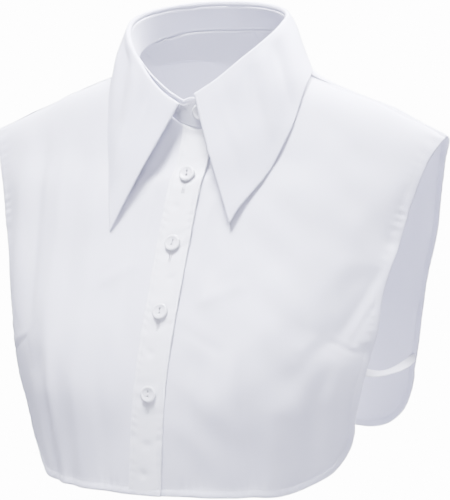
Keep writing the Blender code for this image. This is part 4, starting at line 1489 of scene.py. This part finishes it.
class HALFSHIRT_OT_placket(bpy.types.Operator):
    """Make the button band with its edge stitching and buttonholes"""

    bl_idname = "half_shirt.placket"
    bl_label = "Placket"

    def execute(self, context):
        sizes = context.scene.half_shirt_sizes
        band = placket_points(BAND_GRID[0], panel_rows(BAND_GRID[1]), LAYER * BAND_LIFT)
        points = add_folds(band, [THROAT_HOLLOW])
        middle = points[points.shape[0] // 2, :, 2]
        place = np.broadcast_to(line_length(points[0])[None], points.shape[:2])
        from_edge = line_length(points[:, 0])[:, None]
        distance = np.minimum(from_edge, from_edge[-1] - from_edge) * np.ones(points.shape[:2])
        stitch = sizes.edge_stitch / CM
        rise = pucker(place, distance, stitch, *BAND_PUCKER) + sewn_dip(distance, stitch) * BAND_DIP
        rise = button_pulls(rise, middle, from_edge - from_edge[-1] / 2)
        points = points + outward_normals(points) * rise[..., None]
        half = sizes.cloth / CM * BAND_LAYERS / 2
        item, skin, lining, normal = cloth_shell("button_band", points, half, half, cotton("band"))
        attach(item, "root")
        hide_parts("placket")
        runs = [sewn_edge(skin, normal, edge, stitch, 0.2, 0.2) for edge in (skin[0], skin[-1])]
        for height in BUTTON_HEIGHTS:
            runs.extend(buttonhole(skin, normal, height, sizes.buttonhole / CM, sizes.thread / CM / 2))
        thread = sew("button_band_stitches", runs, thread_material())
        return {"FINISHED"}


def buttonhole(skin, normal, height, size, radius):
    """Two close rows of satin stitch down the band, with a bar across each end."""
    middle = skin[skin.shape[0] // 2]
    order = np.argsort(middle[:, 2])
    heights = np.linspace(height + size * HOLE_ABOVE, height - size * (1 - HOLE_ABOVE), HOLE_STEPS)
    centre = np.stack([np.interp(heights, middle[order, 2], middle[order, k]) for k in range(3)], axis=-1)
    _, up = on_skin(skin, normal, centre)
    side = unit(np.cross(unit(np.gradient(centre, axis=0)), up))
    swing = HOLE_ZIGZAG * np.where(np.arange(HOLE_STEPS) % 2 == 0, 1, -1)
    runs = []
    for offset in (-HOLE_ROW, HOLE_ROW):
        path, direction = on_skin(skin, normal, centre + side * (offset + swing)[:, None])
        runs.append(bar_run(path, direction, radius * 0.9))
    for end in (0, -1):
        across = centre[end] + side[end] * np.linspace(-HOLE_BAR, HOLE_BAR, 8)[:, None]
        path, direction = on_skin(skin, normal, across)
        runs.append(bar_run(path, direction, radius * 1.5))
    return runs


class HALFSHIRT_OT_collar_stand(bpy.types.Operator):
    """Make the collar band with its edge stitching"""

    bl_idname = "half_shirt.collar_stand"
    bl_label = "Collar stand"

    def execute(self, context):
        sizes = context.scene.half_shirt_sizes
        round_neck = np.linspace(-STAND_END, 360.0 + STAND_END, STAND_GRID[0])
        points = stand_points(round_neck, np.linspace(0, 1, STAND_GRID[1]))
        points = points + outward_normals(points) * unevenness(points, STAND_LUMPS, 5)[..., None]
        half = sizes.collar / CM / 2
        item, skin, lining, normal = cloth_shell("collar_band", points, half, half, cotton("collar"))
        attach(item, "root")
        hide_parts("collar_stand")
        inset = sizes.edge_stitch / CM * 0.8
        runs = [
            sewn_edge(face, direction, edge, inset, 0.2, 0.2)
            for face, direction in ((skin, normal), (lining, -normal)) for edge in (face[:, 0], face[:, -1])
        ]
        thread = sew("collar_band_stitches", runs, thread_material())
        return {"FINISHED"}


class HALFSHIRT_OT_collar_leaf(bpy.types.Operator):
    """Make the long pointed collar leaf, folded over the band"""

    bl_idname = "half_shirt.collar_leaf"
    bl_label = "Collar leaf"

    def execute(self, context):
        sizes = context.scene.half_shirt_sizes
        round_neck = np.linspace(LEAF_START, LEAF_END, LEAF_GRID[0])
        points = settle_leaf(leaf_points(round_neck, np.linspace(0, 1, LEAF_GRID[1])), round_neck)
        outside = np.zeros(points.shape[:2])
        outside[:, FOLD_STEPS:] = smooth_step(np.arange(points.shape[1] - FOLD_STEPS) / LEAF_SOFTEN)[None]
        in_front = (ring_angle(round_neck) < LEAF_CREASE_END)[:, None]
        points = points + (add_folds(points, LEAF_CREASES) - points) * (outside * in_front)[..., None]
        lumps = unevenness(points, LEAF_LUMPS, 7) * outside
        points = points + outward_normals(points) * lumps[..., None]
        half = sizes.collar / CM / 2
        item, skin, lining, normal = cloth_shell("pointed_collar", points, half, half, cotton("collar"))
        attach(item, "root")
        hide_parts("collar_leaf")
        inset = sizes.edge_stitch / CM
        edges = ((skin[0, FOLD_STEPS:], 0.3), (skin[:, -1], inset * 3), (skin[-1, FOLD_STEPS:], 0.3))
        runs = [sewn_edge(skin, normal, edge, inset, start, inset * 3, 0.9) for edge, start in edges]
        thread = sew("pointed_collar_stitches", runs, thread_material())
        return {"FINISHED"}


class HALFSHIRT_OT_straps(bpy.types.Operator):
    """Make the two side straps"""

    bl_idname = "half_shirt.straps"
    bl_label = "Side straps"

    def execute(self, context):
        sizes = context.scene.half_shirt_sizes
        half = sizes.strap_rise / CM / 2
        for mirror, word in ((1, "left"), (-1, "right")):
            points = strap_points(mirror, *STRAP_GRID, sizes.strap / CM)
            item = cloth_shell("side_strap_" + word, points, half, half, cotton("strap"))[0]
            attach(item, "root")
            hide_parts("strap_" + word)
        return {"FINISHED"}


def button_places():
    """Centre and outward normal of each button: one on the collar band, four on the placket."""
    low, high = stand_points(np.array([STAND_BUTTON_ANGLE]), np.array([0.0, 1.0]))[0]
    upright = high - low
    normal = unit(np.cross(np.array([1.0, 0.0, 0.0]), unit(upright)))
    places = [(low + upright * STAND_BUTTON_SHARE, normal)]
    band = placket_points(4, panel_rows(60), LAYER)
    middle = band[2]
    normals = outward_normals(band)[2]
    order = np.argsort(middle[:, 2])
    for height in BUTTON_HEIGHTS:
        centre, out = (
            np.array([np.interp(height, middle[order, 2], values[order, k]) for k in range(3)])
            for values in (middle, normals)
        )
        places.append((centre, unit(out)))
    return places


def turned_button(name, size, place, material):
    """Sweeps the button's profile round, then cuts two round holes through it."""
    reach, height = (np.array(BUTTON_PROFILE) * np.array(size)).T[..., None]
    turn = np.arange(BUTTON_SIDES) * 2 * math.pi / BUTTON_SIDES
    ring = np.stack([reach * np.cos(turn), reach * np.sin(turn), height + 0 * turn], axis=-1)
    faces = turned_faces(len(BUTTON_PROFILE), BUTTON_SIDES)
    item = make_object(name, ring.reshape(-1, 3), faces, material)
    form = bmesh.new()
    form.from_mesh(item.data)
    bmesh.ops.remove_doubles(form, verts=form.verts, dist=1e-6)
    bmesh.ops.recalc_face_normals(form, faces=form.faces)
    form.to_mesh(item.data)
    form.free()
    cutters = []
    for step in (-THREAD_HOLE_AT, THREAD_HOLE_AT):
        bpy.ops.mesh.primitive_cylinder_add(
            vertices=THREAD_HOLE_SIDES, radius=THREAD_HOLE_RADIUS * CM, depth=THREAD_HOLE_DEPTH * CM,
            location=(0, step * CM, 0),
        )
        cutters.append(bpy.context.object)
        cut = item.modifiers.new("Thread hole", "BOOLEAN")
        cut.operation = "DIFFERENCE"
        cut.object = cutters[-1]
    bpy.context.view_layer.update()
    finished = bpy.data.meshes.new_from_object(item.evaluated_get(bpy.context.evaluated_depsgraph_get()))
    item.modifiers.clear()
    item.data = finished
    for cutter in cutters:
        bpy.data.objects.remove(cutter)
    scaled = place.copy()
    scaled.translation = scaled.translation * CM
    finished.transform(scaled)
    finished.materials.clear()
    finished.materials.append(material)
    finished.shade_smooth()
    return item


def button_thread(place, rise):
    """Two threads from hole to hole, their ends dipping in, and the shank between button and cloth."""
    way = np.linspace(-1, 1, THREAD_STEPS)
    high = rise * DISH_SHARE + 0.004 - THREAD_DIP * np.abs(way) ** 4
    upright = np.tile(np.array([0.0, 0.0, 1.0]), (THREAD_STEPS, 1))
    sideways = np.tile(np.array([1.0, 0.0, 0.0]), (THREAD_STEPS, 1))
    runs = [
        bar_run(np.stack([offset + 0 * way, way * THREAD_HOLE_AT, high], axis=-1), upright, THREAD_RADIUS)
        for offset in (-THREAD_APART, THREAD_APART)
    ]
    down = np.linspace(-rise * 0.3, -BUTTON_STAND_OFF - 0.02, THREAD_STEPS)
    runs.append(bar_run(np.stack([0 * way, 0 * way, down], axis=-1), sideways, SHANK_RADIUS))
    world = np.array(place)
    return [(points @ world[:3, :3].T + world[:3, 3], faces) for points, faces in runs]


class HALFSHIRT_OT_buttons(bpy.types.Operator):
    """Make the five buttons and the thread that holds them"""

    bl_idname = "half_shirt.buttons"
    bl_label = "Buttons"

    def execute(self, context):
        sizes = context.scene.half_shirt_sizes
        rise = sizes.button_rise / CM
        for number, ((centre, normal), turn) in enumerate(zip(button_places(), BUTTON_TURNS), start=1):
            place = Vector(normal).to_track_quat("Z", "Y").to_matrix().to_4x4()
            place = Matrix.Translation(Vector(centre + normal * BUTTON_STAND_OFF)) @ place
            place = place @ Matrix.Rotation(math.radians(turn), 4, "Z")
            size = (sizes.button / CM / 2, rise)
            item = turned_button(f"shirt_button_{number}", size, place, button_material())
            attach(item, "root")
            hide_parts(f"button_{number}")
            sew(f"shirt_button_{number}_thread", button_thread(place, rise), thread_material())
        return {"FINISHED"}


class HALFSHIRT_OT_stage(bpy.types.Operator):
    """Set the pale floor, the soft light and the camera"""

    bl_idname = "half_shirt.stage"
    bl_label = "Stage"

    def execute(self, context):
        stage = context.scene.half_shirt_stage
        make_floor(stage)
        make_world(stage)
        make_lights(stage)
        make_camera(stage)
        return {"FINISHED"}


def camera_sees(tree, rest, seen, kind):
    """Leads to the output what the camera sees directly, and for all other rays the rest."""
    ray = tree.nodes.new("ShaderNodeLightPath")
    blend = tree.nodes.new("ShaderNodeMixShader")
    output = next(node for node in tree.nodes if node.type == kind)
    tree.links.new(ray.outputs["Is Camera Ray"], blend.inputs[0])
    tree.links.new(rest.outputs[0], blend.inputs[1])
    tree.links.new(seen.outputs[0], blend.inputs[2])
    tree.links.new(blend.outputs[0], output.inputs["Surface"])


def fill_floor(tree, shader, stage):
    """Matt floor that takes the light, and looks plain and bright to the camera."""
    set_inputs(shader, {"Base Color": shaded(stage.floor_colour, 1.0), "Roughness": 0.95})
    bright = tree.nodes.new("ShaderNodeEmission")
    set_inputs(bright, {"Color": (1.0, 1.0, 1.0, 1.0), "Strength": stage.backdrop})
    camera_sees(tree, shader, bright, "OUTPUT_MATERIAL")


def make_floor(stage):
    """A wide round floor, far enough below to take no strong shadow."""
    reach = np.concatenate([[0.0], np.geomspace(FLOOR_INNER, FLOOR_REACH, FLOOR_RINGS)])[:, None]
    turn = np.linspace(0, 2 * math.pi, FLOOR_SIDES + 1)[:-1]
    level = -stage.floor_drop + 0 * reach * turn
    points = np.stack([reach * np.cos(turn), reach * np.sin(turn), level], axis=-1)
    faces = turned_faces(len(reach), FLOOR_SIDES)
    material = material_once("pale_floor", fill_floor, stage)
    floor = make_object("floor", points.reshape(-1, 3) / CM, faces, material)


def make_world(stage):
    """Even light from all round, brighter from above, and a plain bright backdrop for the camera."""
    world = bpy.data.worlds.new("studio")
    bpy.context.scene.world = world
    world.use_nodes = True
    tree = world.node_tree
    around = tree.nodes["Background"]
    around.inputs["Strength"].default_value = stage.around
    way = tree.nodes.new("ShaderNodeTexCoord")
    part = tree.nodes.new("ShaderNodeSeparateXYZ")
    rise = tree.nodes.new("ShaderNodeMapRange")
    set_inputs(rise, {"From Min": SKY_RANGE[0], "From Max": SKY_RANGE[1]})
    tree.links.new(way.outputs["Generated"], part.inputs["Vector"])
    tree.links.new(part.outputs["Z"], rise.inputs["Value"])
    link_colour(tree, rise.outputs["Result"], stage.around_colour, *SKY_SHADES, around.inputs["Color"])
    seen = tree.nodes.new("ShaderNodeBackground")
    set_inputs(seen, {"Color": (1.0, 1.0, 1.0, 1.0), "Strength": stage.backdrop})
    camera_sees(tree, around, seen, "OUTPUT_WORLD")


def way_round(turn, height):
    """Unit vector at an angle round the garment, from straight in front, and an angle above the level."""
    return Vector((math.sin(turn) * math.cos(height), -math.cos(turn) * math.cos(height), math.sin(height)))


def make_lights(stage):
    """A soft light above the front, a weaker one beside the camera and one behind."""
    places = (
        (stage.key_turn, stage.key_height, stage.key),
        (stage.camera_turn, FILL_HEIGHT, stage.fill),
        (BACK_TURN, BACK_HEIGHT, stage.behind),
    )
    for (name, aim, distance, size, spread), (turn, height, watts) in zip(LAMPS, places):
        way = way_round(turn, height)
        lamp = bpy.data.lights.new(name, "AREA")
        lamp.shape = "DISK"
        lamp.size = size
        lamp.spread = math.radians(spread)
        lamp.color = stage.light_colour
        lamp.energy = watts
        light = bpy.data.objects.new(name, lamp)
        light.location = Vector(aim) + way * distance
        light.rotation_euler = way.to_track_quat("Z", "Y").to_euler()
        bpy.context.scene.collection.objects.link(light)


def make_camera(stage):
    """Camera at the photograph's angle: turned round the garment, a little above it, rolled slightly."""
    back = way_round(stage.camera_turn, stage.camera_height)
    right = Vector((math.cos(stage.camera_turn), math.sin(stage.camera_turn), 0.0))
    rolled = right * math.cos(stage.camera_roll) + back.cross(right) * math.sin(stage.camera_roll)
    data = bpy.data.cameras.new("camera")
    data.sensor_width = 36.0
    data.lens = stage.camera_lens
    camera = bpy.data.objects.new("camera", data)
    matrix = Matrix((rolled, back.cross(rolled), back)).transposed().to_4x4()
    matrix.translation = Vector(stage.camera_aim) + back * stage.camera_distance
    camera.matrix_world = matrix
    bpy.context.scene.collection.objects.link(camera)
    bpy.context.scene.camera = camera


class HALFSHIRT_PT_panel(bpy.types.Panel):
    """Half shirt pieces and settings"""

    bl_idname = "HALFSHIRT_PT_panel"
    bl_label = "Half Shirt"
    bl_space_type = "VIEW_3D"
    bl_region_type = "UI"
    bl_category = "Half Shirt"

    def draw(self, context):
        scene = context.scene
        for operator in OPERATORS:
            self.layout.operator(operator.bl_idname)
        for group in (scene.half_shirt_sizes, scene.half_shirt_colours, scene.half_shirt_stage):
            box = self.layout.box()
            for name in group.__annotations__:
                box.prop(group, name)


OPERATORS = (
    HALFSHIRT_OT_stage,
    HALFSHIRT_OT_fronts,
    HALFSHIRT_OT_back,
    HALFSHIRT_OT_placket,
    HALFSHIRT_OT_collar_stand,
    HALFSHIRT_OT_collar_leaf,
    HALFSHIRT_OT_straps,
    HALFSHIRT_OT_buttons,
)
GROUPS = (HalfShirtSizes, HalfShirtColours, HalfShirtStage)


def register():
    """Adds the classes and their settings to Blender."""
    for item in (*GROUPS, *OPERATORS, HALFSHIRT_PT_panel):
        bpy.utils.register_class(item)
    bpy.types.Scene.half_shirt_sizes = bpy.props.PointerProperty(type=HalfShirtSizes)
    bpy.types.Scene.half_shirt_colours = bpy.props.PointerProperty(type=HalfShirtColours)
    bpy.types.Scene.half_shirt_stage = bpy.props.PointerProperty(type=HalfShirtStage)


def unregister():
    """Takes the settings and the classes away again."""
    del bpy.types.Scene.half_shirt_stage
    del bpy.types.Scene.half_shirt_colours
    del bpy.types.Scene.half_shirt_sizes
    for item in reversed((*GROUPS, *OPERATORS, HALFSHIRT_PT_panel)):
        bpy.utils.unregister_class(item)


def main():
    """Makes every piece in order."""
    register()
    for make in (
        bpy.ops.half_shirt.stage,
        bpy.ops.half_shirt.fronts,
        bpy.ops.half_shirt.back,
        bpy.ops.half_shirt.placket,
        bpy.ops.half_shirt.collar_stand,
        bpy.ops.half_shirt.collar_leaf,
        bpy.ops.half_shirt.straps,
        bpy.ops.half_shirt.buttons,
    ):
        make()


if __name__ == "__main__":
    main()
